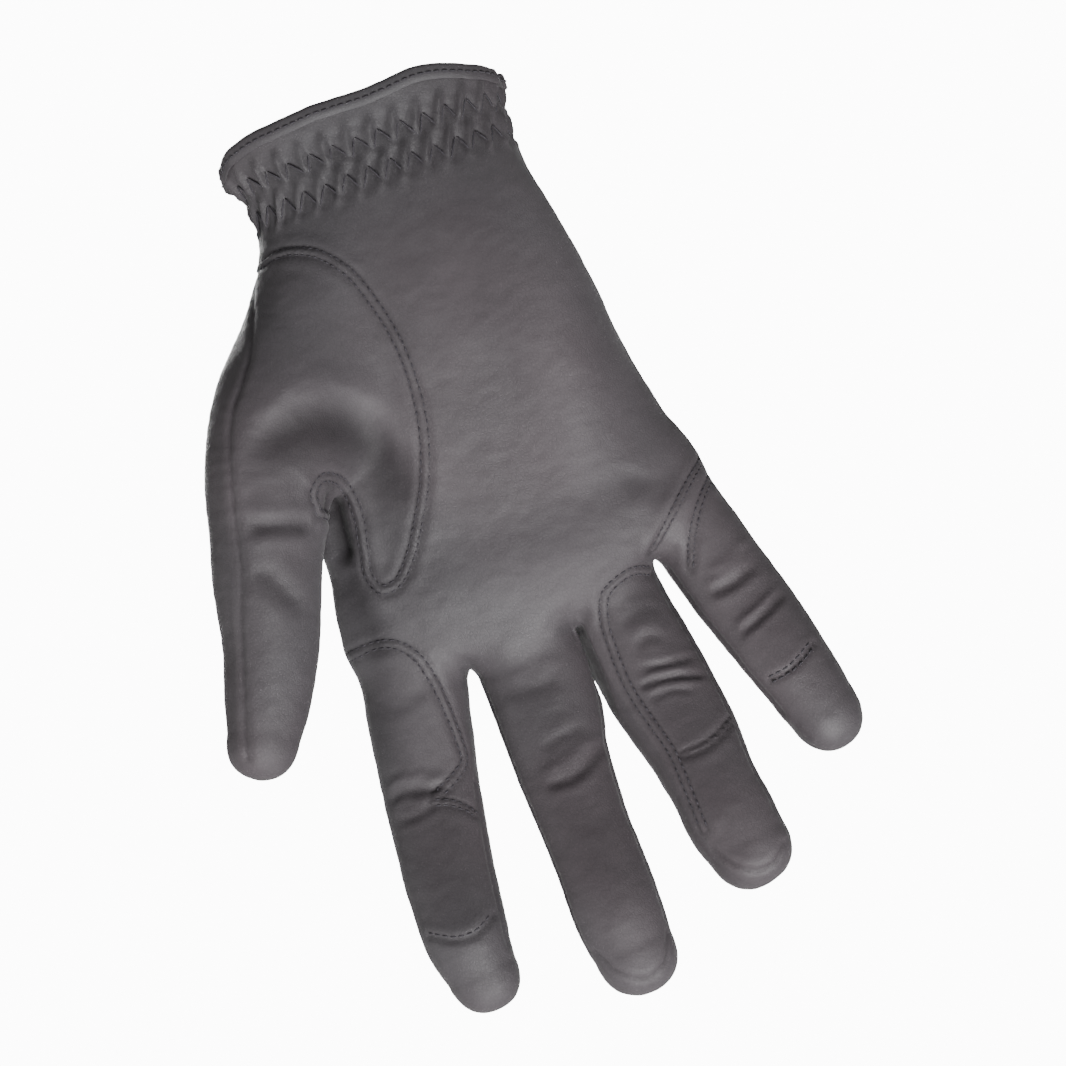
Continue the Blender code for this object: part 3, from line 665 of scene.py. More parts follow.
def zigzag(height, reach):
    """Corners of one row of zigzag stitching across the palm side of the wrist."""
    first, last = (np.interp(a, WRIST_ANGLES, WRIST_ARC) / GATHER_PITCH for a in (-6, 186))
    corners = []
    for k in range(math.ceil(2 * first), int(2 * last)):
        angle = np.interp(k / 2 * GATHER_PITCH, WRIST_ARC, WRIST_ANGLES)
        uneven = 1 + 0.3 * noise.noise(Vector((k * 0.9, height, 3.0)))
        corners.append(hand_spot(angle, height + (reach if k % 2 else -reach) * uneven))
    return np.array(corners)


def pleats(p):
    """How far the gathered leather of the wrist puffs out."""
    left, right, front, _ = HAND(p[:, 2]).T
    u = (p[:, 0] - (left + right) / 2) / ((right - left) / 2)
    v = np.maximum(-p[:, 1], 0) / front
    power = HAND_POWER / 2
    angle = np.degrees(np.arctan2(v**power, np.sign(u) * np.abs(u) ** power))
    arc = np.interp(angle, WRIST_ANGLES, WRIST_ARC)
    out = np.zeros(len(p))
    for row, (height, _, top, bottom) in enumerate(GATHERS):
        t = (arc + GATHER_LEAN * (p[:, 2] - height)) / GATHER_PITCH
        k = np.round(t)
        ridge = bell((t - k) * GATHER_PITCH, PLEAT_HALF)
        numbers = range(int(k.min()), int(k.max()) + 1)
        size = np.array([1 + 0.5 * noise.noise(Vector((1.7 * q, 4.0 * row, 0.5))) for q in numbers])
        reach = smooth((top - p[:, 2]) / 3.0) * smooth((p[:, 2] - bottom) / 3.5)
        out += (PLEAT_RISE * ridge * size[(k - k.min()).astype(int)] - PLEAT_DIP) * reach
    return out * smooth((6.0 - p[:, 1]) / 6)


SKIN = Surface(verts, normals)
TIP_ROWS = {"index_tip": (0.9,), "little_tip": (-0.6, 0.9)}


def make_seams():
    seams = []
    for name, line in PALM_SEAMS.items():
        half = 1.0 if name == "thumb_oval" or name.endswith("patch") else 0.7
        seams.append(Seam(SKIN.project(rounded(line)), (-half, half), 0.34, 0.45, half))
    seams.append(Seam(SKIN.project(rounded(THUMB_EDGE)), (), 0.5, 0.7))
    for name, line in TIP_SEAMS.items():
        band = 0.7 * (name == "ring_welt")
        seams.append(Seam(SKIN.project(rounded(line)), TIP_ROWS.get(name, ()), 0.5, 0.6, band))
    for digit in FINGERS:
        end = digit.s[-1] - digit.root
        for side, outward in ((0, -1.1), (1, 1.1)):
            front, back = FRONT_EDGES[digit.name][side], BACK_EDGES[digit.name][side]
            if front == back:
                seams.append(Seam(digit.place(np.arange(-6.0, end), front), (), 0.25, 0.5))
                continue
            start = 27.0 if digit.name == "index" else 4.0
            if (digit.name, side) != ("ring", 1):
                seams.append(Seam(digit.place(np.arange(start, end - 3), front), (), 0.3, 0.5))
            seams.append(Seam(digit.place(np.arange(4.0, end - 3), back), (outward,), 0.3, 0.5))
    seams.append(Seam(hand_spot(-3.0, np.arange(-2.0, -118.0, -1.0)), (), 0.3, 0.5))
    return seams


def distance_to(points, lines):
    """For each point: distance to the nearest line sample, and that sample's number."""
    samples = np.concatenate(lines)
    tree = search_tree(samples, range(len(samples)))
    found = [tree.find(p) for p in points.tolist()]
    return np.array([f[2] for f in found]), np.array([f[1] for f in found])


def bumps(points, scale, seed):
    offset = Vector((seed, 2.3 * seed, 5.1))
    return np.array([noise.fractal(Vector(p) / scale + offset, 1.0, 2.0, 2) for p in points.tolist()])


SEAM_FAR = 6.0
# How high the leather rises beside a seam and between a seam's two grooves, how deep the zigzag rows pull
# it in, and how much shade is painted into the colour of a fold (light, where it is a ridge).
LIP, RAISED, ZIGZAG_DIP, CREASE_PAINTED_SHADE = 0.16, 0.34, 0.6, 0.38


def sculpt(verts, seams):
    """For each vertex: how far it moves out, its distance from the nearest stitch line, up to SEAM_FAR, and
    the painted shade and painted light of its colour. Also the corners of the zigzag rows."""
    out = 0.22 * bumps(verts, 13.0, 1.0) + 0.10 * bumps(verts * (1.0, 1.0, 1.6), 4.0, 7.0)
    gap, which = distance_to(verts, [s.points for s in seams])
    owner = np.repeat(np.arange(len(seams)), [len(s.points) for s in seams])[which]
    depth, width, band = np.array([(s.depth, s.width, s.band) for s in seams]).T[:, owner]
    from_row = gap - band
    out -= depth * bell(from_row, width)
    out += LIP * bell(from_row - 2.0, 1.3)
    out += np.where(band > 0, RAISED * np.exp(-((gap / (band * 0.75 + 0.01)) ** 4)), 0)
    shade = np.ones(len(verts))
    for line, fall, wide in CREASES:
        d, from_end = along_line(verts, line)
        fade = smooth((from_end + 0.6) / (1.5 + 1.6 * wide))
        dip = fade * bell(d, wide)
        lips = 0.4 * fade * bell(d - 2.1 * wide, 1.1 * wide) * (fall > 0)
        out += fall * (lips - dip)
        # Painted shade along a fold, painted light along a ridge.
        shade *= 1 - CREASE_PAINTED_SHADE * np.clip(fall, -0.3, 1.0) * dip
    # Painted shade, and painted light where the number is below 0, along each listed line.
    for line, dark, wide in PAINTED_LIGHT_AND_SHADE:
        d, from_end = along_line(verts, line)
        shade *= 1 - dark * bell(d, wide) * smooth((from_end + wide) / (2 * wide))
    out += pleats(verts)
    rows = [zigzag(height, reach) for height, reach, _, _ in GATHERS]
    d, _ = distance_to(verts, [resample(row, SEAM_PITCH) for row in rows])
    out -= ZIGZAG_DIP * bell(d, 0.6)
    return out, np.minimum(from_row, SEAM_FAR), shade, rows


def along_line(points, line):
    """Each point's distance from a line seen from the palm side, and how far that is from the line's ends."""
    drawn = SKIN.project(rounded(line))
    d, which = distance_to(points, [drawn])
    return d, np.minimum(which, len(drawn) - 1 - which) * LINE_PITCH


SEAMS = make_seams()
moved, seam_distance, painted_shade, ZIGZAGS = sculpt(verts, SEAMS)
rest = verts
verts = verts + normals * moved[:, None]
normals = vertex_normals(verts, quads)
SHAPED = Surface(verts, normals)


# ---- making objects
def mesh_object(name, points, faces, material=None, normals=None):
    """One object from points in mm. Its shading is smooth."""
    mesh = bpy.data.meshes.new(name)
    points = np.asarray(points, float) * MM
    faces = np.asarray(faces)
    mesh.vertices.add(len(points))
    mesh.vertices.foreach_set("co", points.astype(np.float32).ravel())
    mesh.loops.add(faces.size)
    mesh.loops.foreach_set("vertex_index", faces.astype(np.int32).ravel())
    mesh.polygons.add(len(faces))
    mesh.polygons.foreach_set("loop_start", np.arange(0, faces.size, faces.shape[1], dtype=np.int32))
    mesh.update(calc_edges=True)
    mesh.validate()
    mesh.shade_smooth()
    if normals is not None:
        mesh.normals_split_custom_set_from_vertices(np.asarray(normals).tolist())
    if material is not None:
        mesh.materials.append(material)
    obj = bpy.data.objects.new(name, mesh)
    bpy.context.scene.collection.objects.link(obj)
    return obj


def shell(points, ways, faces, thickness):
    """A sheet given thickness on its inner side, with walls round its edges."""
    count = len(points)
    inner = points - ways * thickness
    edges = np.concatenate([faces[:, [i, (i + 1) % 4]] for i in range(4)])
    keys = edges[:, 0] * count + edges[:, 1]
    back = edges[:, 1] * count + edges[:, 0]
    rim = edges[~np.isin(keys, back)]
    walls = np.stack([rim[:, 1], rim[:, 0], rim[:, 0] + count, rim[:, 1] + count], 1)
    return np.concatenate([points, inner]), np.concatenate([faces, faces[:, ::-1] + count, walls])


def attributes(obj, seam=SEAM_FAR, shade=1.0):
    """How far each point lies from a stitch line, and its colour's painted shade and painted light."""
    for name, values in (("seam", seam), ("shade", shade)):
        made = obj.data.attributes.new(name, "FLOAT", "POINT")
        values = np.broadcast_to(np.asarray(values, np.float32), len(made.data))
        made.data.foreach_set("value", np.ascontiguousarray(values))


def panel(node, chosen, slot):
    """The chosen faces of the skin as one panel of leather, standing for that CAD node."""
    used, faces = np.unique(quads[chosen], return_inverse=True)
    faces = faces.reshape(-1, 4)
    points, ways = verts[used], normals[used]
    made, quads_made = shell(points, ways, faces, LEATHER)
    obj = mesh_object(node + "_skin", made, quads_made, MATERIALS[slot], np.concatenate([ways, -ways]))
    attributes(obj, np.tile(seam_distance[used], 2), np.tile(painted_shade[used], 2))
    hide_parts(node)
    return obj


def sheet_faces(rows, columns):
    r, c = np.meshgrid(np.arange(rows - 1), np.arange(columns - 1), indexing="ij")
    a = (r * columns + c).ravel()
    return np.stack([a, a + 1, a + columns + 1, a + columns], 1)


def strip(name, grid, thickness, slot, node, body="hand"):
    """A sheet given as rows of points, with thickness behind its face."""
    rows, columns = grid.shape[:2]
    points = grid.reshape(-1, 3)
    faces = sheet_faces(rows, columns)
    ways = vertex_normals(points, faces)
    made, quads_made = shell(points, ways, faces, thickness)
    obj = mesh_object(name, made, quads_made, MATERIALS[slot])
    obj.data.set_sharp_from_angle(angle=math.radians(50))
    attributes(obj)
    if body:
        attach(obj, body)
        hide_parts(node)
    return obj


# ---- materials
SHINE = 0.36


def wire(tree, target, sockets):
    """Each named socket of the target gets a value, or another node's output linked to it."""
    for key, value in sockets.items():
        if isinstance(value, bpy.types.NodeSocket):
            tree.links.new(value, target.inputs[key])
        else:
            target.inputs[key].default_value = value


def add(tree, kind, out, sockets, **settings):
    """One output of a new node."""
    made = tree.nodes.new("ShaderNode" + kind)
    for key, value in settings.items():
        setattr(made, key, value)
    wire(tree, made, sockets)
    return made.outputs[out]


def product(tree, a, b):
    return add(tree, "Math", 0, {0: a, 1: b}, operation="MULTIPLY")


def ramp(tree, source, low, high, first, last):
    """Low to high of the source become first to last."""
    ends = {"From Min": low, "From Max": high, "To Min": first, "To Max": last}
    return add(tree, "MapRange", "Result", {"Value": source, **ends})


def new_material(name):
    material = bpy.data.materials.new(name)
    material.use_nodes = True
    return material, material.node_tree, material.node_tree.nodes["Principled BSDF"]


def leather_material(name, colour, grain=1.0):
    material, tree, shader = new_material(name)
    coords = add(tree, "TexCoord", "Object", {})

    def clouds(scale, detail, roughness):
        sockets = {"Vector": coords, "Scale": scale, "Detail": detail, "Roughness": roughness}
        return add(tree, "TexNoise", "Fac", sockets)

    cells = {"Vector": coords, "Scale": 1100.0}
    cells = add(tree, "TexVoronoi", "Distance", cells, feature="DISTANCE_TO_EDGE")
    pores = ramp(tree, cells, 0.0, 0.12, 0.0, 1.0)
    wrinkle, blotch, tone = clouds(420.0, 6.0, 0.6), clouds(38.0, 4.0, 0.55), clouds(14.0, 2.0, 0.5)
    seam = add(tree, "Attribute", "Fac", {}, attribute_name="seam")
    seam = add(tree, "Math", 0, {0: seam}, operation="ABSOLUTE")
    light = add(tree, "Attribute", "Fac", {}, attribute_name="shade")
    # Painted shade: the colour darkens within 0.8 mm of a stitch line, down in its groove, and takes the
    # painted shade and light of the shade attribute.
    painted_shade_fac = product(tree, ramp(tree, seam, 0.0, 0.8, 0.78, 1.0), light)
    red, green, blue = colour
    hues = {
        "Factor": ramp(tree, tone, 0.35, 0.65, 0.0, 1.0),
        "A": (red * 1.05, green * 0.95, blue * 1.0, 1),
        "B": (red * 0.98, green * 1.0, blue * 1.03, 1),
    }
    hues = add(tree, "Mix", "Result", hues, data_type="RGBA")
    shade = product(tree, ramp(tree, blotch, 0.3, 0.7, 0.90, 1.08), painted_shade_fac)
    shade = product(tree, shade, ramp(tree, pores, 0.0, 1.0, 0.90, 1.0))
    grey = add(tree, "CombineColor", 0, {0: shade, 1: shade, 2: shade})
    height = product(tree, pores, 0.35)
    height = add(tree, "Math", 0, {0: height, 1: wrinkle}, operation="ADD")
    bump = {"Strength": 0.30 * grain, "Distance": 0.0003, "Height": height}
    mixed = {"Factor": 1.0, "A": hues, "B": grey}
    wire(tree, shader, {
        "Base Color": add(tree, "Mix", "Result", mixed, data_type="RGBA", blend_type="MULTIPLY"),
        "Roughness": ramp(tree, blotch, 0.3, 0.7, 0.56, 0.68),
        # The painted shade also dims the shine.
        "Specular IOR Level": product(tree, painted_shade_fac, SHINE),
        "Sheen Weight": 0.06,
        "Sheen Roughness": 0.45,
        "Normal": add(tree, "Bump", "Normal", bump),
    })
    return material


def plain_fabric(name, colour, roughness, scale, strength):
    material, tree, shader = new_material(name)
    fuzz = {"Vector": add(tree, "TexCoord", "Object", {}), "Scale": scale, "Detail": 5.0}
    fuzz = add(tree, "TexNoise", "Fac", fuzz)
    shade = {0: colour, "Scale": ramp(tree, fuzz, 0.3, 0.7, 0.7, 1.2)}
    bump = {"Strength": strength, "Distance": 0.0004, "Height": fuzz}
    wire(tree, shader, {
        "Base Color": add(tree, "VectorMath", "Vector", shade, operation="SCALE"),
        "Roughness": roughness,
        "Specular IOR Level": 0.2,
        "Normal": add(tree, "Bump", "Normal", bump),
    })
    return material


MATERIALS = {
    "leather": leather_material("glove_leather", (0.039, 0.0352, 0.0374)),
    "side_leather": leather_material("side_leather", (0.034, 0.031, 0.033)),
    "binding": leather_material("binding_leather", (0.032, 0.029, 0.031), 0.7),
    "elastic": plain_fabric("elastic", (0.02, 0.02, 0.021), 0.85, 900.0, 0.6),
    "hook_tape": plain_fabric("hook_tape", (0.018, 0.018, 0.019), 0.75, 1600.0, 1.0),
    "loop_tape": plain_fabric("loop_tape", (0.02, 0.02, 0.021), 0.95, 700.0, 1.0),
    "thread": plain_fabric("thread", (0.034, 0.031, 0.036), 0.75, 2500.0, 0.4),
}


# ---- cutting the skin into panels
# The height of the cuff's edge across the palm side and the back.
CUFF_FRONT = through((-38, -4.2), (-36, -2.2), (-32.6, 0.6), (-27.3, 2.3), (-18.5, 3.3), (-9, 3.8),
                     (5, 3.3), (16.8, 4.1), (22.7, 3.3), (28.6, 1.4), (33.9, -0.9), (38, -4.0))
CUFF_BACK = through((-38, -4.2), (-30, -0.6), (-10, 0.6), (10, 0.8), (30, -0.4), (38, -4.0))
# The slit down the back: its middle, its lower end, and half its width there.
SLIT_X, SLIT_END, SLIT_HALF = 6.0, -53.0, 1.6


def cuff_height(x, y):
    share = smooth((6 - y) / 12)
    return CUFF_FRONT(x) * share + CUFF_BACK(x) * (1 - share)


def slit_half(z):
    return SLIT_HALF + 1.8 * np.clip((z - SLIT_END) / 58, 0, 1.1)


def belongs(p):
    """For each point: its digit (-1 for the hand), and how far it lies past where the digit's end begins."""
    hand = hand_field(p)
    owner = np.full(len(p), -1)
    nearest = np.full(len(p), np.inf)
    past = np.zeros(len(p))
    for i, digit in enumerate(DIGITS):
        d = digit.field(p)
        mine = (d < nearest) & (d < 6) & (digit.zones[0].along(p) > digit.zones[0].start - 0.3)
        if digit is THUMB:
            mine &= d < hand + 1.0
        owner[mine] = i
        nearest[mine] = d[mine]
        past[mine] = (digit.zones[1].along(p) - digit.zones[1].start + 1.5)[mine]
    return owner, past


PARTS = ("base", "tip")
# Corners, (across, height), that take the thumb's oval round the thumb, and of the little finger's band.
AROUND_THUMB = ((-60, -100), (-90, -100), (-90, -26))
LITTLE_BAND = np.array(((52, -102), (31, -120.5), (33, -128), (38, -127), (60, -112)))
WEB_SPLITS = (-27, -8, 19, 38)  # across the hand, where the webs between the fingers begin and end


def build_panels():
    p = rest[quads].mean(1)
    x, y, z = p.T
    way = normals[quads].mean(1)
    owner, past = belongs(p)
    edge = np.array(sorted(THUMB_EDGE, key=lambda spot: spot[1]))
    beyond_edge = (way[:, 1] < 0) & (x < np.interp(z, edge[:, 1], edge[:, 0]))
    for i, digit in enumerate(DIGITS):
        _, u, v, _, sizes = digit.local(p)
        turned = (digit.angle(u, v, sizes) + 90) % 360 - 90
        outer, inner = FRONT_EDGES[digit.name]
        back_outer, back_inner = BACK_EDGES[digit.name]
        front = (turned > outer) & (turned <= inner)
        if digit is THUMB:
            front &= ~beyond_edge
            thumb_front = front
        outer_side = (turned > back_outer) & (turned <= outer)
        inner_side = (turned > inner) & (turned <= back_inner)
        for kind, chosen, slot in (
            ("front", front, "leather"),
            ("outer_fourchette", outer_side, "side_leather"),
            ("inner_fourchette", inner_side, "side_leather"),
            ("back", ~(front | outer_side | inner_side), "leather"),
        ):
            for zone, part, where in zip(digit.zones, PARTS, (past <= 0, past > 0)):
                mask = (owner == i) & chosen & where
                if mask.any():
                    zone.blend(panel(f"{digit.name}_{kind}_{part}", mask, slot))
    hand = owner < 0
    hand &= z < cuff_height(x, y) - 0.7
    hand &= ~((y > 0) & (np.abs(x - SLIT_X) < slit_half(z)) & (z > SLIT_END))
    front = (y < 0.6) & (way[:, 1] < 0.5)
    outline = np.concatenate([rounded(PALM_SEAMS["thumb_oval"]), AROUND_THUMB])
    thumb = (THUMB.field(p) < hand_field(p) + 1.5) & (z < -27) & (x < -20)
    gusset_back = hand & thumb & (~thumb_front | beyond_edge) & (THUMB.field(p) < hand_field(p))
    gusset_front = hand & ~gusset_back & point_in(outline, x, z) & (front | thumb)
    other = hand & ~gusset_front & ~gusset_back
    first, second, third, last = WEB_SPLITS
    between = other & (z < HAND_END(x) + 6) & (np.abs(way[:, 1]) < 0.6) & (x > first) & (x < last)
    other &= ~between
    band = other & front & point_in(LITTLE_BAND, x, z)
    other &= ~band
    for node_name, mask, slot in (
        ("web_index_middle", between & (x < second), "side_leather"),
        ("web_middle_ring", between & (x >= second) & (x < third), "side_leather"),
        ("web_ring_little", between & (x >= third), "side_leather"),
        ("thumb_gusset_front", gusset_front, "leather"),
        ("thumb_gusset_back", gusset_back, "leather"),
        ("little_base_band", band, "leather"),
        ("palm_panel", other & front, "leather"),
        ("back_panel", other & ~front, "leather"),
    ):
        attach(panel(node_name, mask, slot), "hand")


# ---- stitching
STITCH_PITCH, STITCH_LENGTH, THREAD = 2.0, 1.5, 0.24
FINE = 0.25  # what a stitch's length and pitch are counted in
# A thread's rings of points: share of its length, size and lift, both in thicknesses.
THREAD_RINGS = ((0, 0.35, -0.3), (0.12, 0.85, 0.05), (0.5, 1, 0.25), (0.88, 0.85, 0.05), (1, 0.35, -0.3))
AROUND = 6  # points in a ring


def capsules(starts, ends, ways):
    """Short bowed threads, each dipping into the leather at both ends."""
    reach = ends - starts
    forward = unit(reach)
    side = unit(np.cross(forward, ways))
    up = np.cross(side, forward)
    points = []
    for t, size, lift in THREAD_RINGS:
        for turn in np.radians(np.arange(AROUND) * 360.0 / AROUND):
            offset = side * math.cos(turn) + up * math.sin(turn)
            points.append(starts + reach * t + up * (lift * THREAD) + offset * (THREAD * size))
    faces = [(0, 3, 2, 1), (0, 5, 4, 3), (24, 25, 26, 27), (24, 27, 28, 29)]
    for first in range(0, len(points) - AROUND, AROUND):
        for k in range(AROUND):
            after = (k + 1) % AROUND
            faces.append((first + k, first + after, first + AROUND + after, first + AROUND + k))
    faces = np.array(faces)[None] + len(points) * np.arange(len(starts))[:, None, None]
    return np.stack(points, 1).reshape(-1, 3), faces.reshape(-1, 4)


def dashes(line, ways):
    """Start, end and outward way of each stitch along a line."""
    both = resample(np.concatenate([line, ways], 1), FINE)
    span = int(STITCH_LENGTH / FINE)
    first = np.arange(1, len(both) - span - 1, int(STITCH_PITCH / FINE))
    return both[first, :3], both[first + span, :3], unit(both[first + span // 2, 3:])


def sew(name, stitches, body="hand"):
    starts, ends, ways = (np.concatenate([part[k] for part in stitches]) for k in range(3))
    points, faces = capsules(starts, ends, ways)
    obj = mesh_object(name, points, faces, MATERIALS["thread"])
    if body:
        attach(obj, body)
    return obj


def build_stitching():
    rows = []
    for seam in SEAMS:
        for offset in seam.rows:
            line = seam.points + seam.sides * offset
            rows.append(dashes(*SHAPED.snap(line)))
    for corners in ZIGZAGS:
        spots, ways = SHAPED.snap(corners)
        lean = (spots[1:] - spots[:-1]) * 0.08
        rows.append((spots[:-1] + lean, spots[1:] - lean, ways[1:] + ways[:-1]))
    starts, ends, ways = (np.concatenate([row[k] for row in rows]) for k in range(3))
    mid = (starts + ends) / 2
    owner, past = belongs(mid)
    clear = (mid[:, 1] <= 0) | (np.abs(mid[:, 0] - SLIT_X) >= 6) | (mid[:, 2] <= SLIT_END - 4)
    hand = clear & (owner < 0)
    sew("hand_stitching", [(starts[hand], ends[hand], ways[hand])])
    for i, digit in enumerate(DIGITS):
        for zone, part, where in zip(digit.zones, PARTS, (past <= 0, past > 0)):
            chosen = clear & (owner == i) & where
            if chosen.any():
                row = (starts[chosen], ends[chosen], ways[chosen])
                zone.blend(sew(f"{digit.name}_{part}_stitching", [row], None))


# ---- bindings, elastic and closure
def swept(name, centres, sides, ways, profile, node):
    """A closed section of binding carried along a line: each profile point is (along side, along way)."""
    a, b = np.array(profile).T
    grid = centres[:, None] + sides[:, None] * a[None, :, None] + ways[:, None] * b[None, :, None]
    count, around = len(centres), len(profile)
    r, c = np.meshgrid(np.arange(count - 1), np.arange(around), indexing="ij")
    one, two = (r * around + c).ravel(), (r * around + (c + 1) % around).ravel()
    faces = [np.stack([one, two, two + around, one + around], 1)]
    last = (count - 1) * around
    for k in range(around // 2 - 1):
        cap = np.array([k, k + 1, around - 2 - k, around - 1 - k])
        faces += [cap[None, ::-1], cap[None] + last]
    obj = mesh_object(name, grid.reshape(-1, 3), np.concatenate(faces), MATERIALS["binding"])
    obj.data.set_sharp_from_angle(angle=math.radians(60))
    attributes(obj)
    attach(obj, "hand")
    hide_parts(node)


CUFF_SPOTS = 900  # places tried round the cuff


def build_cuff_binding():
    angles = np.linspace(-84, 276, CUFF_SPOTS)
    spots = hand_spot(angles, 1.0)
    in_slit = (spots[:, 1] > 0) & (np.abs(spots[:, 0] - SLIT_X) < 3.6)
    before = np.flatnonzero(in_slit[: CUFF_SPOTS // 2])
    angles = angles[(np.arange(CUFF_SPOTS) > before.max(initial=-1)) & ~in_slit]
    spots = hand_spot(angles, 1.0)
    edge = cuff_height(spots[:, 0], spots[:, 1])
    base, ways = SHAPED.snap(hand_spot(angles, edge - 1.5))
    for _ in range(6):
        for line in (base, ways):
            line[1:-1] = (line[:-2] + 2 * line[1:-1] + line[2:]) / 4
    ways = unit(ways * (1.0, 1.0, 0.4))
    base[:, 2] = edge + 0.25 * bumps(base, 7.0, 9.0)
    sides = np.tile((0.0, 0.0, 1.0), (len(base), 1))
    profile = ((-3.3, 0.3), (-3.15, 0.52), (-1.7, 0.6), (-0.3, 0.64), (0.3, 0.46), (0.6, 0.0),
               (0.6, -0.8), (0.1, -1.3), (-0.8, -1.55), (-2.2, -1.6), (-2.9, -1.4), (-2.4, -0.6))
    swept("cuff_binding_strip", base, sides, ways, profile, "cuff_binding")
    sew("cuff_stitching", [dashes(base + sides * -1.5 + ways * 0.72, ways)])


def build_slit_binding():
    heights = np.arange(-1.5, SLIT_END, -LINE_PITCH)
    turns = np.radians(np.arange(0, 181, 15))
    down = np.stack([SLIT_X - slit_half(heights), heights], 1)
    round_end = np.stack([SLIT_X - SLIT_HALF * np.cos(turns), SLIT_END - SLIT_HALF * np.sin(turns)], 1)
    path = resample(np.concatenate([down, round_end, down[::-1] * (-1, 1) + (2 * SLIT_X, 0)]), LINE_PITCH)
    centres, ways = SHAPED.snap([(x, back_y(x, z), z) for x, z in path])
    sides = unit(np.cross(np.gradient(centres, axis=0), ways))
    if sides[5, 0] > 0:
        sides = -sides
    profile = ((3.2, 0.1), (2.8, 0.6), (1.6, 0.75), (0.2, 0.72), (-0.6, 0.4), (-0.9, -0.2),
               (-0.9, -0.9), (-0.5, -1.4), (0.5, -1.5), (2.2, -1.4), (2.6, -1.0), (2.6, -0.4))
    swept("slit_binding_strip", centres, sides, ways, profile, "slit_binding")
    sew("slit_stitching", [dashes(centres + sides * 1.9 + ways * 0.74, ways)])


def back_spot(x, z, outset=0.0):
    """A place on the back of the hand or above it, and the way out of the hand there."""
    x, z = np.broadcast_arrays(np.asarray(x, float), np.asarray(z, float))
    left, right, _, back = np.moveaxis(HAND(z), -1, 0)
    half = (right - left) / 2
    u = np.clip((x - (left + right) / 2) / half, -0.97, 0.97)
    power, share = HAND_POWER, 1 - np.abs(u) ** HAND_POWER
    y = back * share ** (1 / power)
    slope = back / half * np.sign(u) * np.abs(u) ** (power - 1) * share ** (1 / power - 1)
    way = unit(np.stack([slope, np.ones_like(slope), np.zeros_like(slope)], -1))
    return np.stack([x, y, z], -1) + way * np.asarray(outset)[..., None], way


def back_y(x, z):
    return float(back_spot(x, z)[0][1])


TAB_LEFT, TAB_RIGHT, TAB_TOP, TAB_BOTTOM, TAB_CORNER = -19.0, 27.0, -9.5, -34.5, 9.0
ANCHOR_LEFT = -28.5


def pad(name, sides, outset, thickness, corner, slot, node, body, dome=0.25):
    """A sheet that follows the back of the wrist, round-cornered on its free side."""
    left, right, top, bottom = sides
    x = left + (right - left) * (1 - (1 - np.linspace(0, 1, 40)) ** 1.35)
    middle, half = (top + bottom) / 2, (top - bottom) / 2
    past = np.maximum(0, x - (right - corner))
    reach = (half - corner + np.sqrt(np.maximum(0, corner**2 - past**2)))[:, None]
    c = np.linspace(-1, 1, 24)
    c = np.sign(c) * (1 - (1 - np.abs(c)) ** 1.3)
    x = np.repeat(x[:, None], len(c), 1)
    border = np.minimum(reach * (1 - np.abs(c)), right - x)
    outset = outset(x) if callable(outset) else outset
    grid, _ = back_spot(x, middle - reach * c, outset + thickness - dome * np.exp(-border / 0.6))
    return strip(name, grid, thickness, slot, node, body)


def tab_rise(x):
    """How far the strap's leather lies above the back of the wrist."""
    return 0.42 + 2.6 * smooth((x - ANCHOR_LEFT - 2.5) / 8.5)


def build_closure():
    def sides(left, right, level):
        return left, TAB_RIGHT + right, TAB_TOP - level, TAB_BOTTOM + level

    pad("loop_patch", sides(14.0, 1.5, 2.5), 0.4, 0.8, 2.0, "loop_tape", "loop_pad", "hand")
    pad("hook_patch", sides(14.4, -1.5, 3.5), 1.5, 0.75, 2.0, "hook_tape", "hook_pad", "closure_tab")
    lining = sides(TAB_LEFT + 1, -0.7, 0.7)
    pad("tab_backing", lining, 2.45, 0.55, 8.4, "side_leather", "tab_lining", "closure_tab")
    strap = sides(ANCHOR_LEFT, 0.0, 0.0)
    face = pad("tab_strap", strap, tab_rise, 1.1, TAB_CORNER, "leather", None, None, 0.35)
    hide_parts("tab_anchor", "tab_leather")
    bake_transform(face)
    inset = 1.7
    turns = np.radians(np.arange(0, 91, 6))
    x = np.linspace(ANCHOR_LEFT + 9, TAB_RIGHT - TAB_CORNER, 40)
    x = np.concatenate([x, TAB_RIGHT - TAB_CORNER + (TAB_CORNER - inset) * np.sin(turns)])
    top = np.full(40, TAB_TOP - inset)
    top = np.concatenate([top, TAB_TOP - TAB_CORNER + (TAB_CORNER - inset) * np.cos(turns)])
    x = np.concatenate([x, x[::-1]])
    z = np.concatenate([top, TAB_TOP + TAB_BOTTOM - top[::-1]])
    sew("tab_stitching", [dashes(*back_spot(x, z, tab_rise(x) + 1.22))], "closure_tab")
    z = np.linspace(TAB_TOP - 1.4, TAB_BOTTOM + 1.4, 30)
    rows = (back_spot(x, z, tab_rise(x) + 1.2) for x in (ANCHOR_LEFT + 1.4, ANCHOR_LEFT + 3.4))
    sew("anchor_stitching", [dashes(*row) for row in rows])


def build_elastics():
    for name, top, bottom in (("wrist_elastic_upper", -4.2, -9.6), ("wrist_elastic_lower", -11.4, -17.4)):
        angles = np.linspace(168, 12, 90)
        grid = hand_spot(angles[:, None], np.linspace(top, bottom, 7), -1.9)
        grid[..., 1] += 0.15 * np.sin(angles * 1.9)[:, None]
        strip(name + "_band", grid, 0.6, "elastic", name)


build_panels()
build_stitching()
build_cuff_binding()
build_slit_binding()
build_closure()
build_elastics()


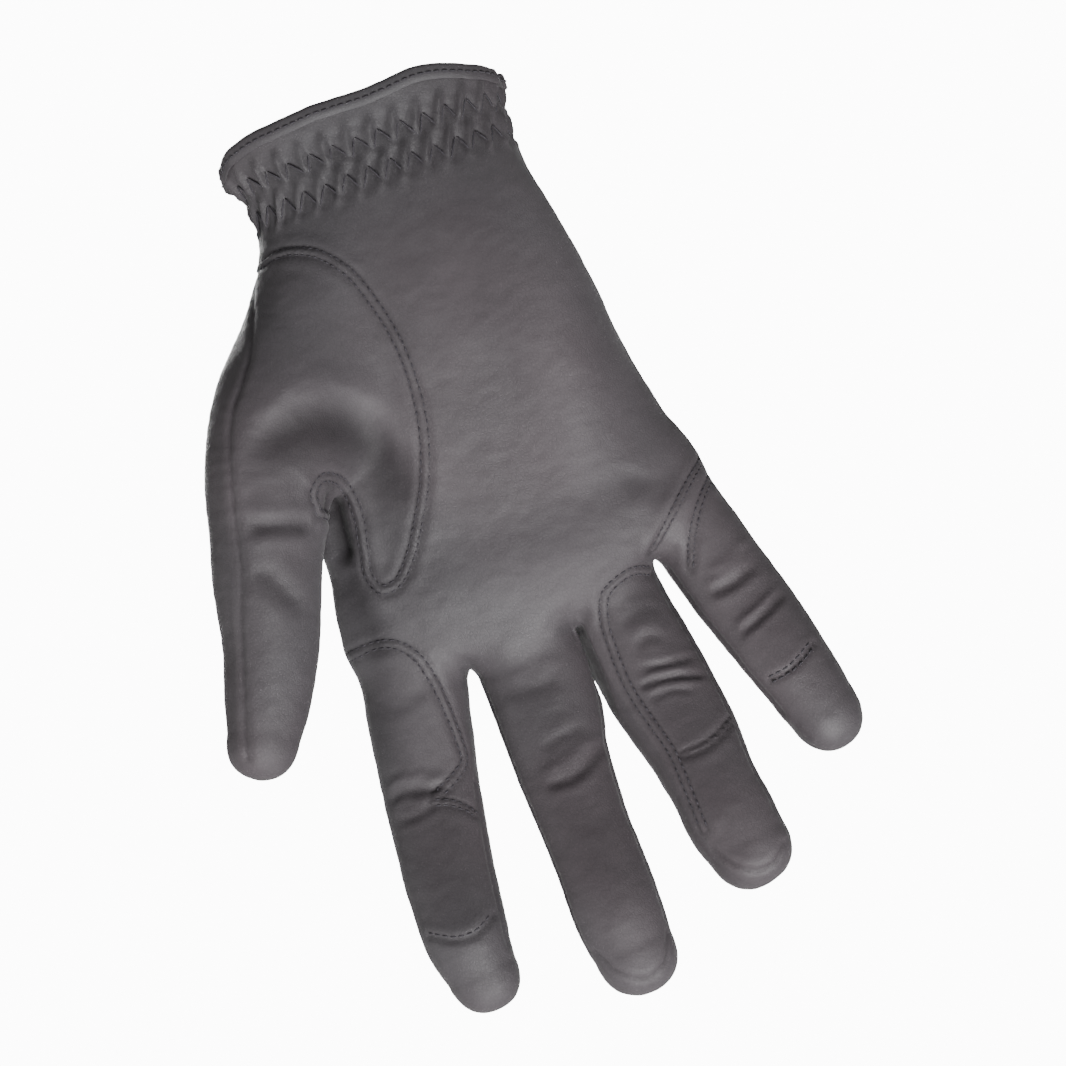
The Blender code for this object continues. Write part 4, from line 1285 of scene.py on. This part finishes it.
# ---- stage, light and camera
def look(where, target, upward=(0, 0, 1)):
    """The place and turn of something that looks from one place at another."""
    back = (Vector(where) - Vector(target)).normalized()
    right = Vector(upward).cross(back).normalized()
    up = back.cross(right)
    m = Matrix((right, up, back)).transposed().to_4x4()
    m.translation = Vector(where)
    return m


def place(name, data, *looking):
    obj = bpy.data.objects.new(name, data)
    bpy.context.scene.collection.objects.link(obj)
    obj.matrix_world = look(*looking)
    return obj


GLOVE_MIDDLE = (0.0, 0.0, -0.10)
# Each lamp's place and width in metres, and its power.
LAMPS = {
    "key": ((0.12, -1.0, -0.95), 0.5, 42.5),
    "right": ((0.9, -0.6, 0.3), 0.6, 3),
    "left": ((-1.0, -0.35, -0.2), 0.6, 6),
    "behind": ((-0.2, 1.1, 0.3), 0.8, 22),
}
# The world's light, and how bright the world and the floor look to the camera.
FILL, WORLD_SEEN, FLOOR_SEEN = 0.28, 12.0, 2.5
FLOOR_REACH, FLOOR_LEVEL = 3000, -1100


def build_lamps():
    for name, (where, size, watts) in LAMPS.items():
        data = bpy.data.lights.new(name, "AREA")
        data.shape = "DISK"
        data.size = size
        data.energy = watts
        place(name, data, where, GLOVE_MIDDLE).visible_camera = False


def build_floor():
    far = FLOOR_REACH
    corners = [(x, y, FLOOR_LEVEL) for x, y in ((-far, -far), (far, -far), (far, far), (-far, far))]
    paint, tree, shader = new_material("floor_paint")
    seen = add(tree, "LightPath", "Is Camera Ray", {})
    wire(tree, shader, {
        "Base Color": (0.9, 0.9, 0.9, 1),
        "Roughness": 0.9,
        "Emission Color": (1, 1, 1, 1),
        "Emission Strength": product(tree, seen, FLOOR_SEEN),
    })
    mesh_object("floor", corners, [(0, 1, 2, 3)], paint)


def build_world():
    world = bpy.data.worlds.new("studio")
    bpy.context.scene.world = world
    world.use_nodes = True
    tree = world.node_tree
    tree.nodes.clear()
    white = (1, 1, 1, 1)
    fill, seen = (add(tree, "Background", 0, {0: white, 1: power}) for power in (FILL, WORLD_SEEN))
    seen_by = add(tree, "LightPath", "Is Camera Ray", {})
    light = add(tree, "MixShader", 0, {0: seen_by, 1: fill, 2: seen})
    wire(tree, tree.nodes.new("ShaderNodeOutputWorld"), {0: light})


CENTRE = Vector((VIEW_X, PLANE_Y, VIEW_Z)) * MM
FRAME_WIDTH = 250.5 * MM
ROLL = math.radians(20.0)


def build_camera():
    data = bpy.data.cameras.new("camera")
    data.sensor_width = 36.0
    data.lens = 135.0
    away = FRAME_WIDTH / 2 / (data.sensor_width / 2 / data.lens)
    up = (math.sin(ROLL), 0, math.cos(ROLL))
    camera = place("camera", data, CENTRE + Vector((0, -away, 0)), CENTRE, up)
    bpy.context.scene.camera = camera


build_floor()
build_world()
build_lamps()
build_camera()
